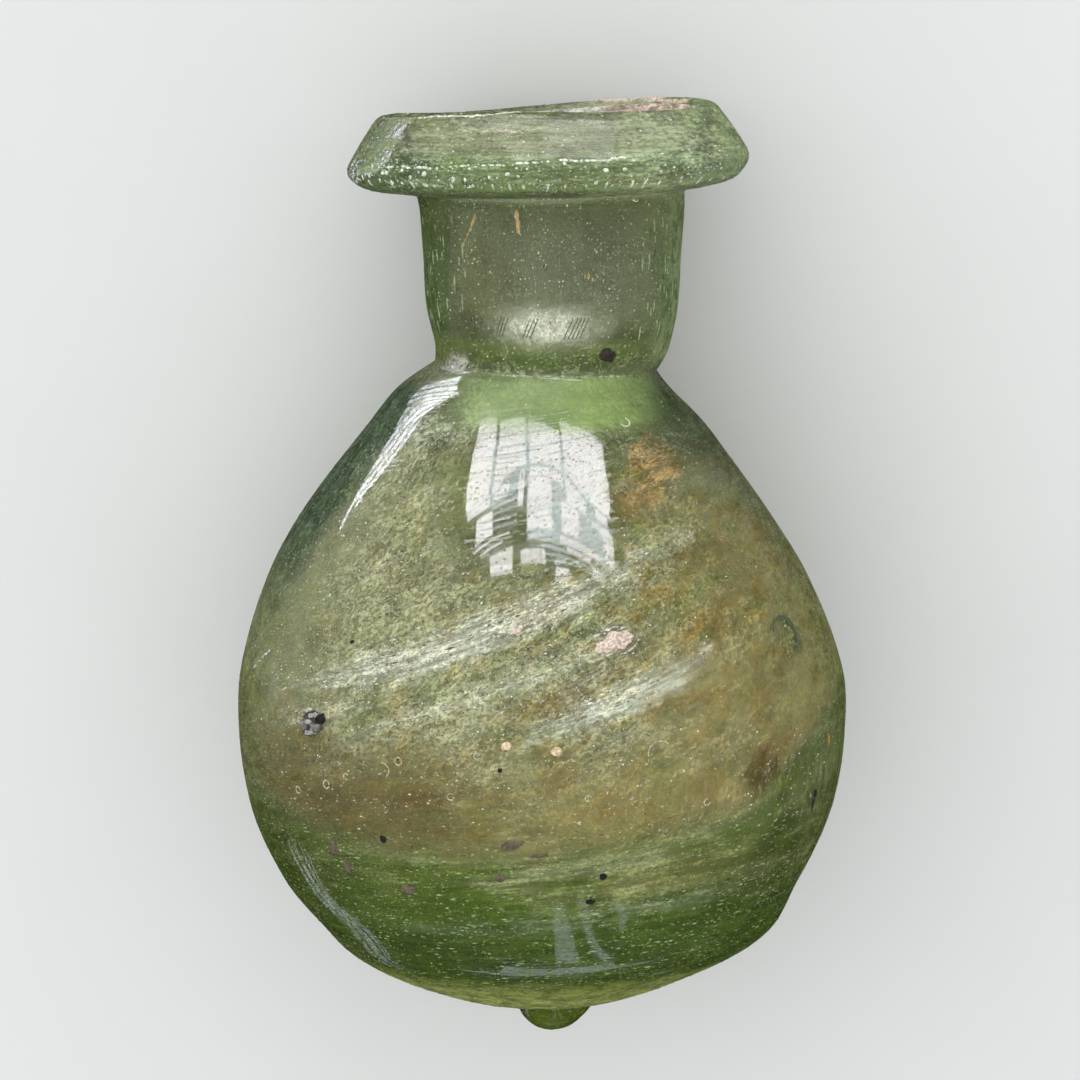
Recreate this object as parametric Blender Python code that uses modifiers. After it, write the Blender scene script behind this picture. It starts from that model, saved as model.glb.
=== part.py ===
"""A blown-glass perfume flask of antiquity, lying on its side as it rests when nothing holds it.

The flask is one piece of glass: a pear-shaped body, a tooled waist that leaves a small sprinkler hole, a short
cup-shaped neck, a collar-like folded rim, and the broken stub of the pontil rod under the base. It is turned from a
profile in its own upright frame, where +Z runs up its axis to the mouth, -Y is its front and height 0 is the
underside of its body. It is then laid on its back, with its mouth towards +Y.
"""
import math

import bpy
from mathutils import Matrix, Vector

MM = 0.001

# Driving dimensions, in millimetres.
BELLY_RADIUS = 32.8
BELLY_HEIGHT = 31.2
WAIST_RADIUS = 11.8
WAIST_HEIGHT = 69.4
NECK_RADIUS = 13.75
COLLAR_RADIUS = 21.4
COLLAR_HEIGHT = 88.2
LIP_HEIGHT = 96.9
HOLE_RADIUS = 4.3
STUB_RADIUS = 3.9
STUB_LENGTH = 3.4
BASE_WALL = 3.1
BELLY_WALL = 1.8
NECK_WALL = 1.8

# What the glassblower's eye left uneven: the waist falls to the right, the collar rises to the right, the lip waves,
# and the stub broke off with a few lobes.
WAIST_TILT = math.radians(2.2)
COLLAR_TILT = math.radians(2.3)
LIP_WAVE = 0.4
STUB_LOBES = 0.1

# How much of each of those a height takes, and how far it stands off the axis to the right: the body sags a little
# and the neck is set askew on it. Each row is (height, value).
WAIST_SHARE = [(62.0, 0.0), (69.0, 1.0), (71.0, 1.0), (78.0, 0.0)]
COLLAR_SHARE = [(84.0, 0.0), (92.0, 1.0)]
LIP_SHARE = [(91.0, 0.0), (LIP_HEIGHT, 1.0)]
SWAY = [(-2.0, 1.1), (-0.6, 1.3), (0.6, 0.5), (3.5, -0.3), (9.0, 0.8), (14.0, 0.1), (34.0, 0.1), (55.0, -0.6),
        (66.0, -0.4), (72.0, 1.2), (86.0, 1.2), (91.0, 0.75), (96.0, 0.65)]

# How deep the floor cuts into the two places where the lying flask rests, so that it has flat spots and won't roll.
FLAT_DEPTH = 0.17
FLOOR_SIZE = (0.3, 0.3, 0.02)

TURN_STEPS = 60
SHARP_ANGLE = math.radians(40)
GLASS_GREEN = (0.27, 0.36, 0.17, 1.0)
GLASS_ROUGHNESS = 0.15
GLASS_IOR = 1.52
GLASS_TRANSMISSION = 0.9


def smooth_curve(stations, spans=1):
    """Points on a smooth curve through all the stations, with this many spans between each two."""
    first = [2 * a - b for a, b in zip(stations[0], stations[1])]
    last = [2 * a - b for a, b in zip(stations[-1], stations[-2])]
    padded = [first, *stations, last]
    points = []
    for before, start, end, after in zip(padded, padded[1:], padded[2:], padded[3:]):
        for step in range(spans):
            t = step / spans
            points.append(tuple(
                b + (t * (c - a) + t ** 2 * (2 * a - 5 * b + 4 * c - d) + t ** 3 * (3 * b - a - 3 * c + d)) / 2
                for a, b, c, d in zip(before, start, end, after)
            ))
    return [*points, tuple(stations[-1])]


def stub_outline():
    """The broken pontil stub, from its tip on the axis to where it meets the base."""
    return smooth_curve([
        (0.0, -STUB_LENGTH),
        (0.45 * STUB_RADIUS, -0.83 * STUB_LENGTH),
        (0.78 * STUB_RADIUS, -0.48 * STUB_LENGTH),
        (STUB_RADIUS, -0.06 * STUB_LENGTH),
    ])


def body_outline():
    """Radius, height and wall of the body, from the stub's edge up to the waist."""
    return smooth_curve([
        (1.12 * STUB_RADIUS, 0.28, BASE_WALL),
        (10.0, 1.15, BASE_WALL),
        (17.6, 4.1, 2.7),
        (23.3, 7.7, 2.3),
        (27.7, 13.6, 2.0),
        (31.5, 22.0, BELLY_WALL),
        (BELLY_RADIUS, BELLY_HEIGHT, BELLY_WALL),
        (32.0, 38.7, BELLY_WALL),
        (28.0, 49.0, 1.9),
        (20.6, 59.4, 2.1),
        (16.1, 65.4, 3.0),
        (WAIST_RADIUS, WAIST_HEIGHT, 3.0),
    ], spans=2)


def neck_outline():
    """The outside of the neck, from the waist up to the underside of the collar."""
    return smooth_curve([
        (WAIST_RADIUS + 0.1, WAIST_HEIGHT + 0.4),
        (NECK_RADIUS - 0.9, 73.2),
        (NECK_RADIUS - 0.3, 76.4),
        (NECK_RADIUS, 82.0),
        (NECK_RADIUS + 0.5, COLLAR_HEIGHT - 0.3),
    ])


def collar_outline():
    """The folded collar, from its underside round its rolled edge and up its sloping side to the lip."""
    return smooth_curve([
        (NECK_RADIUS + 0.9, COLLAR_HEIGHT),
        (COLLAR_RADIUS - 2.2, COLLAR_HEIGHT + 0.8),
        (COLLAR_RADIUS - 0.5, COLLAR_HEIGHT + 1.9),
        (COLLAR_RADIUS, COLLAR_HEIGHT + 3.2),
        (COLLAR_RADIUS - 1.0, COLLAR_HEIGHT + 5.2),
        (18.8, LIP_HEIGHT - 1.1),
        (18.0, LIP_HEIGHT - 0.2),
        (17.1, LIP_HEIGHT),
        (16.4, LIP_HEIGHT - 0.6),
    ], spans=2)


def mouth_outline():
    """The inside of the mouth, neck and sprinkler hole, down to where the body opens out below the hole."""
    bore = NECK_RADIUS - NECK_WALL
    return smooth_curve([
        (15.0, LIP_HEIGHT - 2.2),
        (13.2, LIP_HEIGHT - 5.2),
        (bore + 0.2, LIP_HEIGHT - 9.5),
        (bore, 80.0),
        (bore - 0.7, 74.4),
        (9.3, 72.0),
        (6.6, 70.9),
        (HOLE_RADIUS + 0.4, 70.0),
        (HOLE_RADIUS, 68.6),
        (HOLE_RADIUS + 0.9, 66.0),
        (8.2, 64.2),
        (12.6, 63.2),
    ])


def cavity_outline(body):
    """The inner face of the body's wall, from under the shoulder down to the axis."""
    inner = []
    for below, here, above in zip(body, body[1:], body[2:]):
        along = Vector((above[0] - below[0], above[1] - below[1])).normalized()
        radius, height, wall = here
        inner.append((radius - wall * along.y, height + wall * along.x))
    shoulder_height = WAIST_HEIGHT - 8.4
    rising = [point for point in inner if point[0] > STUB_RADIUS and point[1] < shoulder_height]
    floor = BASE_WALL + 0.4
    return [*reversed(rising), (0.7 * STUB_RADIUS, floor), (0.0, floor)]


def flask_profile():
    """The whole section of the glass, from the stub's tip round the outside, over the lip and back to the axis."""
    body = body_outline()
    outside = [*stub_outline(), *(point[:2] for point in body), *neck_outline(), *collar_outline()]
    return [*outside, *mouth_outline(), *cavity_outline(body)]


def turned_mesh(name, profile):
    """The closed skin that the profile sweeps in one turn about Z."""
    outline = bpy.data.meshes.new(name)
    # A Screw faces outwards where its profile runs down its outer side, and this one is listed upwards.
    points = [(radius * MM, 0.0, height * MM) for radius, height in reversed(profile)]
    outline.from_pydata(points, [(i, i + 1) for i in range(len(points) - 1)], [])
    blank = bpy.data.objects.new(name, outline)
    bpy.context.scene.collection.objects.link(blank)
    screw = blank.modifiers.new("turn", "SCREW")
    screw.steps = screw.render_steps = TURN_STEPS
    screw.use_merge_vertices = True
    screw.merge_threshold = 0.00001
    turned = bpy.data.meshes.new_from_object(blank.evaluated_get(bpy.context.evaluated_depsgraph_get()))
    bpy.data.objects.remove(blank)
    return turned


def eased(value, stations):
    """The second number of the stations at this value of the first, eased from each station to the next."""
    if value <= stations[0][0]:
        return stations[0][1]
    for (low, start), (high, end) in zip(stations, stations[1:]):
        if value <= high:
            t = (value - low) / (high - low)
            return start + (end - start) * t * t * (3 - 2 * t)
    return stations[-1][1]


def by_hand(point):
    """Moves a point of the true turned form to where the glassblower's hand left it."""
    x, y, z = point / MM
    around = math.atan2(y, x)
    if z < 0:
        lobes = 1 + STUB_LOBES * (math.cos(2 * around + 0.8) + math.cos(3 * around) / 2)
        x, y = x * lobes, y * lobes
    risen = z
    risen += eased(z, COLLAR_SHARE) * x * math.tan(COLLAR_TILT)
    risen += eased(z, LIP_SHARE) * LIP_WAVE * (math.sin(2 * around) - math.sin(around) / 2)
    risen -= eased(z, WAIST_SHARE) * x * math.tan(WAIST_TILT)
    return Vector((x + eased(z, SWAY), y, risen)) * MM


def lying(tilt):
    """The turn that lays the flask on its back with its mouth towards +Y and this much below level."""
    return Matrix.Rotation(-math.pi / 2 - tilt, 4, "X")


def resting_tilt(mesh):
    """The tilt at which the belly and the edge of the collar touch the floor together."""
    body = [v.co for v in mesh.vertices if v.co.z < WAIST_HEIGHT * MM]
    collar = [v.co for v in mesh.vertices if v.co.z > COLLAR_HEIGHT * MM]
    low, high = 0.0, math.radians(30)
    for _ in range(40):
        middle = (low + high) / 2
        turn = lying(middle)
        if min((turn @ point).z for point in body) < min((turn @ point).z for point in collar):
            low = middle
        else:
            high = middle
    return middle


def glass_material():
    """Pale green glass that light passes through."""
    material = bpy.data.materials.new("weathered_glass")
    material.use_nodes = True
    shader = material.node_tree.nodes["Principled BSDF"]
    shader.inputs["Base Color"].default_value = GLASS_GREEN
    shader.inputs["Roughness"].default_value = GLASS_ROUGHNESS
    shader.inputs["Metallic"].default_value = 0.0
    shader.inputs["IOR"].default_value = GLASS_IOR
    shader.inputs["Transmission Weight"].default_value = GLASS_TRANSMISSION
    return material


def floor_cutter(collection):
    """A block whose top is the floor."""
    bpy.ops.mesh.primitive_cube_add(size=1)
    block = bpy.context.object
    block.name = "floor_cutter"
    block.data.transform(Matrix.Translation((0, 0, -FLOOR_SIZE[2] / 2)) @ Matrix.Diagonal((*FLOOR_SIZE, 1)))
    block.hide_render = True
    block.display_type = "WIRE"
    for home in block.users_collection:
        home.objects.unlink(block)
    collection.objects.link(block)
    return block


def build_flask(parts, cutters):
    """The flask: turned, shaped by hand, laid on its back and flattened a little where it rests."""
    mesh = turned_mesh("flask", flask_profile())
    for vertex in mesh.vertices:
        vertex.co = by_hand(vertex.co)
    mesh.shade_smooth()
    mesh.set_sharp_from_angle(angle=SHARP_ANGLE)
    mesh.materials.append(glass_material())

    turn = lying(resting_tilt(mesh))
    laid = [turn @ vertex.co for vertex in mesh.vertices]
    lowest = [min(point[axis] for point in laid) for axis in range(3)]
    highest = [max(point[axis] for point in laid) for axis in range(3)]
    onto_floor = Vector((
        -(lowest[0] + highest[0]) / 2,
        -(lowest[1] + highest[1]) / 2,
        -lowest[2] - FLAT_DEPTH * MM,
    ))
    flask = bpy.data.objects.new("flask", mesh)
    flask.matrix_world = Matrix.Translation(onto_floor) @ turn
    parts.objects.link(flask)
    flats = flask.modifiers.new("flat_spots", "BOOLEAN")
    flats.operation = "DIFFERENCE"
    flats.object = floor_cutter(cutters)


def main():
    for old in list(bpy.data.objects):
        bpy.data.objects.remove(old)
    parts = bpy.data.collections.new("perfume_flask")
    cutters = bpy.data.collections.new("cutters")
    for collection in (parts, cutters):
        bpy.context.scene.collection.children.link(collection)
    build_flask(parts, cutters)


main()
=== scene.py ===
"""The looks of a weathered blown-glass perfume flask that lies on its back on a pale floor.

The glass is a closed shell with seed bubbles in its wall. Under it lies a film of soil that dried inside the
body, and on it a thin weathering film, crusts and loose grains. Some of their colour is painted light:
painted shade towards the silhouette, on the shoulder, down the neck's sides, on the body's lower left and on
the grains, a painted lime glow in the throat, and painted highlights on the neck, the lip, the rim and the
left flank.
Everything about the flask is made in its own upright frame, in millimetres, where +Z runs up its axis to the
mouth, -Y is its front and height 0 is the underside of its body, and is then laid on its back.
"""
import math
import random

import bmesh
import bpy
import numpy as np
from mathutils import Matrix, Vector, noise


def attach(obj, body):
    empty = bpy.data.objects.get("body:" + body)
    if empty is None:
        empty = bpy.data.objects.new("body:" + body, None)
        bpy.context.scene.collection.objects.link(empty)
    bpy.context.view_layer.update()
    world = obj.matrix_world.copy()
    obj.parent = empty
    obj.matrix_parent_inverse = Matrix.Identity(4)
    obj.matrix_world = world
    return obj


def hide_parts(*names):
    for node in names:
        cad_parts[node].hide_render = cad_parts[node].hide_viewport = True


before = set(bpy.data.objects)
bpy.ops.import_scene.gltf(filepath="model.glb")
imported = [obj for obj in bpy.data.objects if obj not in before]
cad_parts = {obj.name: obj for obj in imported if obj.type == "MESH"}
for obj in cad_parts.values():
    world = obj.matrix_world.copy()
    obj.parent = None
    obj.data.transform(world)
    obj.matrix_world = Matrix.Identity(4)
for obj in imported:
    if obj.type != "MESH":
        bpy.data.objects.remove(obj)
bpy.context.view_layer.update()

MM = 0.001

# The flask's driving dimensions, in millimetres, as its solid has them.
BELLY_RADIUS = 32.8
BELLY_HEIGHT = 31.2
WAIST_RADIUS = 11.8
WAIST_HEIGHT = 69.4
NECK_RADIUS = 13.75
COLLAR_RADIUS = 21.4
COLLAR_HEIGHT = 88.2
LIP_HEIGHT = 96.9
HOLE_RADIUS = 4.3
STUB_RADIUS = 3.9
STUB_LENGTH = 3.4
BASE_WALL = 3.1
BELLY_WALL = 1.8
NECK_WALL = 1.8
WAIST_TILT = math.radians(2.2)
COLLAR_TILT = math.radians(2.3)
LIP_WAVE = 0.4
STUB_LOBES = 0.1
# How much of the waist's tilt, of the collar's tilt and of the lip's wave each height takes.
WAIST_SHARE = [(62.0, 0.0), (69.0, 1.0), (71.0, 1.0), (78.0, 0.0)]
COLLAR_SHARE = [(84.0, 0.0), (92.0, 1.0)]
LIP_SHARE = [(91.0, 0.0), (LIP_HEIGHT, 1.0)]
# How far to the right the glass stands at each height.
SWAY = [(-2.0, 1.1), (-0.6, 1.3), (0.6, 0.5), (3.5, -0.3), (9.0, 0.8), (14.0, 0.1), (34.0, 0.1), (55.0, -0.6),
        (66.0, -0.4), (72.0, 1.2), (86.0, 1.2), (91.0, 0.75), (96.0, 0.65)]
# How deep the floor cuts into the two places where the flask rests.
FLAT_DEPTH = 0.17

# The shoulder swells a hair beyond the solid's profile: height, reach up and down, and most.
SWELL_HEIGHT = 58.0
SWELL_REACH = 8.5
SWELL = 0.3

# How many points each ring of the glass has.
TURN_STEPS = 216

# Waves of the glass's skins: height, size of their lumps and seed.
OUTER_WAVES = [(0.16, 17.0, 1), (0.06, 5.0, 2)]
INNER_WAVES = [(0.6, 12.0, 3), (0.15, 5.0, 4)]
RIPPLE = [(0.007, 2.6, 5)]

# Heights between which the neck turns into the rim.
RIM_FOOT = (87.5, 89.0)
# Heights between which the waist turns into the neck.
NECK_START = (70.0, 71.0)


# ---------------------------------------------------------------- the flask's form

def smooth_curve(stations, spans):
    """Points on a smooth curve through all the stations, with this many spans between each two."""
    rows = np.array(stations, float)
    padded = np.vstack([2 * rows[0] - rows[1], rows, 2 * rows[-1] - rows[-2]])
    t = np.arange(spans)[:, None] / spans
    pieces = []
    for a, b, c, d in zip(padded, padded[1:], padded[2:], padded[3:]):
        pieces.append(b + (t * (c - a) + t ** 2 * (2 * a - 5 * b + 4 * c - d)
                           + t ** 3 * (3 * b - a - 3 * c + d)) / 2)
    return np.vstack([*pieces, rows[-1:]])


STUB_OUTLINE = smooth_curve([
    (0.0, -STUB_LENGTH),
    (0.45 * STUB_RADIUS, -0.83 * STUB_LENGTH),
    (0.78 * STUB_RADIUS, -0.48 * STUB_LENGTH),
    (STUB_RADIUS, -0.06 * STUB_LENGTH),
], 5)
# Radius, height and wall of the body, from the stub's edge up to the waist.
BODY_OUTLINE = smooth_curve([
    (1.12 * STUB_RADIUS, 0.28, BASE_WALL),
    (10.0, 1.15, BASE_WALL),
    (17.6, 4.1, 2.7),
    (23.3, 7.7, 2.3),
    (27.7, 13.6, 2.0),
    (31.5, 22.0, BELLY_WALL),
    (BELLY_RADIUS, BELLY_HEIGHT, BELLY_WALL),
    (32.0, 38.7, BELLY_WALL),
    (28.0, 49.0, 1.9),
    (20.6, 59.4, 2.1),
    (16.1, 65.4, 3.0),
    (WAIST_RADIUS, WAIST_HEIGHT, 3.0),
], 8)
NECK_OUTLINE = smooth_curve([
    (WAIST_RADIUS + 0.1, WAIST_HEIGHT + 0.4),
    (NECK_RADIUS - 0.9, 73.2),
    (NECK_RADIUS - 0.3, 76.4),
    (NECK_RADIUS, 82.0),
    (NECK_RADIUS + 0.5, COLLAR_HEIGHT - 0.3),
], 5)
COLLAR_OUTLINE = smooth_curve([
    (NECK_RADIUS + 0.9, COLLAR_HEIGHT),
    (COLLAR_RADIUS - 2.2, COLLAR_HEIGHT + 0.8),
    (COLLAR_RADIUS - 0.5, COLLAR_HEIGHT + 1.9),
    (COLLAR_RADIUS, COLLAR_HEIGHT + 3.2),
    (COLLAR_RADIUS - 1.0, COLLAR_HEIGHT + 5.2),
    (18.8, LIP_HEIGHT - 1.1),
    (18.0, LIP_HEIGHT - 0.2),
    (17.1, LIP_HEIGHT),
    (16.4, LIP_HEIGHT - 0.6),
], 6)
BORE_RADIUS = NECK_RADIUS - NECK_WALL
# From the lip down the bore and through the sprinkler hole to the underside of the shoulder.
MOUTH_OUTLINE = smooth_curve([
    (15.0, LIP_HEIGHT - 2.2),
    (13.2, LIP_HEIGHT - 5.2),
    (BORE_RADIUS + 0.2, LIP_HEIGHT - 9.5),
    (BORE_RADIUS, 80.0),
    (BORE_RADIUS - 0.7, 74.4),
    (9.3, 72.0),
    (6.6, 70.9),
    (HOLE_RADIUS + 0.4, 70.0),
    (HOLE_RADIUS, 68.6),
    (HOLE_RADIUS + 0.9, 66.0),
    (8.2, 64.2),
    (12.6, 63.2),
], 4)


def cavity_outline():
    """The inner face of the body's wall, from under the shoulder down to the axis."""
    along = BODY_OUTLINE[2:, :2] - BODY_OUTLINE[:-2, :2]
    along /= np.linalg.norm(along, axis=1)[:, None]
    wall = BODY_OUTLINE[1:-1, 2]
    inner = BODY_OUTLINE[1:-1, :2] + np.column_stack([-wall * along[:, 1], wall * along[:, 0]])
    rising = inner[(inner[:, 0] > STUB_RADIUS) & (inner[:, 1] < WAIST_HEIGHT - 8.4)]
    floor = BASE_WALL + 0.4
    return np.vstack([rising[::-1], [(0.7 * STUB_RADIUS, floor), (0.0, floor)]])


def eased(value, stations):
    """The second number of the stations at these values of the first, eased from each station to the next."""
    marks = np.array(stations, float)
    value = np.clip(value, marks[0, 0], marks[-1, 0])
    low = np.clip(np.searchsorted(marks[:, 0], value, side="right") - 1, 0, len(marks) - 2)
    t = (value - marks[low, 0]) / (marks[low + 1, 0] - marks[low, 0])
    return marks[low, 1] + (marks[low + 1, 1] - marks[low, 1]) * t * t * (3 - 2 * t)


def by_hand(points):
    """Moves points of the true turned form, in millimetres, to where the glassblower's hand left them."""
    x, y, z = points.T
    around = np.arctan2(y, x)
    lobes = np.where(z < 0, 1 + STUB_LOBES * (np.cos(2 * around + 0.8) + np.cos(3 * around) / 2), 1)
    x, y = x * lobes, y * lobes
    risen = z + eased(z, COLLAR_SHARE) * x * math.tan(COLLAR_TILT)
    risen += eased(z, LIP_SHARE) * LIP_WAVE * (np.sin(2 * around) - np.sin(around) / 2)
    risen -= eased(z, WAIST_SHARE) * x * math.tan(WAIST_TILT)
    return np.column_stack([x + eased(z, SWAY), y, risen])


def lying(tilt):
    return Matrix.Rotation(-math.pi / 2 - tilt, 4, "X")


def resting_place(points):
    """The matrix that lays the flask of these points, in millimetres, on the floor as the solid lies."""
    def lowest(tilt, chosen):
        return (chosen @ np.array(lying(tilt))[:3, :3].T)[:, 2].min()

    body = points[points[:, 2] < WAIST_HEIGHT]
    collar = points[points[:, 2] > COLLAR_HEIGHT]
    low, high = 0.0, math.radians(30)
    for _ in range(40):
        tilt = (low + high) / 2
        if lowest(tilt, body) < lowest(tilt, collar):
            low = tilt
        else:
            high = tilt
    laid = points @ np.array(lying(tilt))[:3, :3].T
    middle = (laid.min(0) + laid.max(0)) / 2
    onto_floor = Vector((-middle[0], -middle[1], -laid[:, 2].min() - FLAT_DEPTH))
    return Matrix.Translation(onto_floor) @ lying(tilt)


def wavy(points, lump, seed, octaves=1):
    """Smooth noise around zero at these points, whose lumps are this many millimetres apart."""
    shift = Vector((seed * 17.3, seed * 5.1, seed * 9.7))
    return np.array([noise.fractal(Vector(p) / lump + shift, 1.0, 2.0, octaves) for p in points])


def ramp(value, zero, one):
    """0 up to the first mark and 1 beyond the second, eased between them. Either mark may be the greater."""
    t = np.clip((value - zero) / (one - zero), 0, 1)
    return t * t * (3 - 2 * t)


def glass_grid():
    """The glass's skin as rings of points, from the stub's tip round the lip to the cavity's floor.

    With it come its normals, and the ring where the outside ends, at the lip."""
    outside = np.vstack([STUB_OUTLINE, BODY_OUTLINE[:, :2], NECK_OUTLINE, COLLAR_OUTLINE])
    profile = np.vstack([outside, MOUTH_OUTLINE, cavity_outline()])
    turn = math.tau * np.arange(TURN_STEPS) / TURN_STEPS
    circle = np.column_stack([np.cos(turn), np.sin(turn), np.zeros(TURN_STEPS)])
    grid = profile[:, :1, None] * circle + profile[:, 1:, None] * np.array([0, 0, 1.0])
    true = grid.reshape(-1, 3)
    grid = by_hand(true).reshape(grid.shape)

    def waves(kinds):
        return sum(height * wavy(true, lump, seed) for height, lump, seed in kinds).reshape(grid.shape[:2])

    inside = (np.arange(len(profile)) >= len(outside))[:, None]
    wave = np.where(inside, waves(INNER_WAVES), waves(OUTER_WAVES))
    y, z = grid[..., 1], grid[..., 2]
    # The waves die down towards the axis, and the shoulder's front is calmer, so that it mirrors clearly.
    calm = ramp(z, 42, 48) * ramp(z, 66, 64) * ramp(y, -8, -14) * ~inside
    wave = wave * np.minimum(1, profile[:, :1] / 3) * (1 - 0.7 * calm) + waves(RIPPLE) * (z > 3)
    swell = np.clip((z - SWELL_HEIGHT) / SWELL_REACH, -1, 1)
    wave += np.where(inside, 0, SWELL / 2 * (1 + np.cos(math.pi * swell)))
    grid = grid + grid_normals(grid) * wave[:, :, None]
    return grid, grid_normals(grid), len(outside)


def grid_normals(grid):
    """Unit normals that look out of the glass, at every point of its rings."""
    along = np.gradient(grid, axis=0)
    around = np.roll(grid, -1, axis=1) - np.roll(grid, 1, axis=1)
    normals = np.cross(around, along)
    length = np.linalg.norm(normals, axis=2, keepdims=True)
    upright = np.zeros_like(normals)
    upright[..., 2] = np.where(np.arange(len(grid)) < len(grid) / 2, -1, 1)[:, None]
    return np.where(length > 1e-9, normals / np.maximum(length, 1e-9), upright)


def skin_of(grid):
    """Vertices and faces of rings of points. A ring that lies on the axis becomes one vertex."""
    steps = np.arange(grid.shape[1])
    points, faces, last, count = [], [], None, 0
    for ring in grid:
        if np.ptp(ring, axis=0).max() < 1e-6:
            ring = ring[:1]
        here = count + steps % len(ring)
        if points:
            corners = [last, np.roll(last, -1), np.roll(here, -1), here]
            if len(ring) == 1:
                corners.pop()
            if len(points[-1]) == 1:
                corners.pop(1)
            faces += np.column_stack(corners).tolist()
        last = here
        count += len(ring)
        points.append(ring)
    return np.vstack(points), faces


# ---------------------------------------------------------------- materials

class Nodes:
    """The node tree of a material or a world, with short ways to add linked nodes."""

    def __init__(self, owner):
        owner.use_nodes = True
        self.owner = owner
        self.tree = owner.node_tree

    def give(self, node, inputs):
        """Gives inputs of the node plain values, or links to other nodes' outputs."""
        for key, value in inputs.items():
            if isinstance(value, bpy.types.NodeSocket):
                self.tree.links.new(value, node.inputs[key])
            else:
                node.inputs[key].default_value = value

    def fill(self, name, inputs):
        self.give(self.tree.nodes[name], inputs)

    def add(self, kind, inputs, out=0, **settings):
        """One output of a new node of this kind, with these inputs and settings."""
        node = self.tree.nodes.new("ShaderNode" + kind)
        for name, value in settings.items():
            setattr(node, name, value)
        self.give(node, inputs)
        return node.outputs[out]

    def math(self, operation, first, second, clamp=False):
        return self.add("Math", {0: first, 1: second}, operation=operation, use_clamp=clamp)

    def plus(self, first, second):
        return self.math("ADD", first, second)

    def times(self, first, second, clamp=False):
        return self.math("MULTIPLY", first, second, clamp)

    def span(self, value, low, high, to_low=0.0, to_high=1.0):
        """The value from low to high, eased and spread over another range, and held outside it."""
        inputs = {"Value": value, "From Min": low, "From Max": high, "To Min": to_low, "To Max": to_high}
        return self.add("MapRange", inputs, "Result", interpolation_type="SMOOTHSTEP")

    def eased_off(self, value, share):
        """The value where the share is 1, and nearer to 1 where it is less."""
        return self.plus(self.times(self.math("SUBTRACT", value, 1.0), share), 1.0)

    def mix(self, share, first, second):
        return self.add("Mix", {0: share, 6: first, 7: second}, 2, data_type="RGBA")

    def layer(self, name, out="Fac"):
        """One of the layers that the piece's points keep: a number, or else a Vector or a Color."""
        return self.add("Attribute", {}, out, attribute_name=name)

    def scaled(self, colour, amount):
        return self.add("VectorMath", {0: colour, "Scale": amount}, operation="SCALE")

    def toned(self, colour, tone):
        """The colour with each of its channels scaled."""
        return self.add("VectorMath", {0: colour, 1: tone}, operation="MULTIPLY")

    def stretch(self, vector, scale, shift=(0, 0, 0)):
        return self.add("Mapping", {"Vector": vector, "Scale": scale, "Location": shift})

    def noise(self, vector, scale, detail, rough=0.5):
        inputs = {"Vector": vector, "Scale": scale, "Detail": detail, "Roughness": rough}
        return self.add("TexNoise", inputs, "Fac")

    def bump(self, height, strength, distance):
        return self.add("Bump", {"Height": height, "Strength": strength, "Distance": distance})

    def mottled(self, colour, grit):
        """The colour with umber and mossy patches, as strong as the layer of mottling."""
        share = self.layer("mottle")
        umber = self.times(self.span(self.noise(grit, 0.36, 5, 0.7), 0.49, 0.6), share)
        aside = self.stretch(grit, (1, 1, 1), (40, 0, 0))
        moss = self.times(self.span(self.noise(aside, 0.42, 5, 0.7), 0.5, 0.62), share)
        browned = self.mix(umber, colour, self.toned(colour, UMBER_TONE))
        return self.mix(moss, browned, self.toned(browned, MOSS_TONE))

    def mirrored(self):
        """1 on what a surface mirrors, and 0 on what is seen straight or through the glass."""
        glossy = self.add("LightPath", {}, "Is Glossy Ray")
        return self.math("SUBTRACT", glossy, self.add("LightPath", {}, "Is Transmission Ray"), clamp=True)


def new_material(name):
    return Nodes(bpy.data.materials.new(name))


UMBER_TONE = (0.88, 0.68, 0.45)
MOSS_TONE = (0.56, 0.68, 0.5)
CREAM_TONE = (1.25, 1.2, 0.92)
GRAIN_PALE = (0.76, 0.78, 0.62, 1)
GLASS_GREEN = (0.64, 0.73, 0.24, 1)
GLASS_DENSITY = 300.0
FLOOR_TONES = (0.70, 0.70, 0.68, 1), (0.74, 0.74, 0.72, 1)
FLOOR_IN_REFLECTIONS = (0.1, 0.1, 0.085, 1)


def glass_material():
    """Clear olive-green glass, darker the more of it light crosses, with faint cords along its twist."""
    n = new_material("old_green_glass")
    cords = n.noise(n.stretch(n.layer("grain", "Vector"), (1, 1, 0.15)), 0.35, 2)
    n.fill("Principled BSDF", {
        "IOR": 1.5,
        "Transmission Weight": 1.0,
        "Coat Weight": 1.0,
        "Coat IOR": 1.7,
        "Coat Roughness": 0.03,
        "Base Color": n.scaled(n.layer("tint", "Color"), n.span(cords, 0.3, 0.6, 0.86, 1.0)),
        "Normal": n.bump(cords, 0.3, 0.0004),
        "Roughness": n.span(cords, 0.5, 0.7, 0.02, 0.22),
    })
    volume = n.add("VolumeAbsorption", {"Color": GLASS_GREEN, "Density": GLASS_DENSITY})
    n.fill("Material Output", {"Volume": volume})
    return n.owner


def film_output(n, share, colour, glow):
    """A dry film of this colour, which covers this share of what is behind it.

    As much of its light as the glow says comes through it from behind."""
    n.fill("Principled BSDF", {"Base Color": colour, "Roughness": 0.8, "Specular IOR Level": 0.0})
    behind = n.add("BsdfTranslucent", {"Color": colour})
    film = n.add("MixShader", {0: glow, 1: n.tree.nodes["Principled BSDF"].outputs[0], 2: behind})
    clear = n.add("BsdfTransparent", {})
    n.fill("Material Output", {"Surface": n.add("MixShader", {0: share, 1: clear, 2: film})})
    return n.owner


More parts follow.
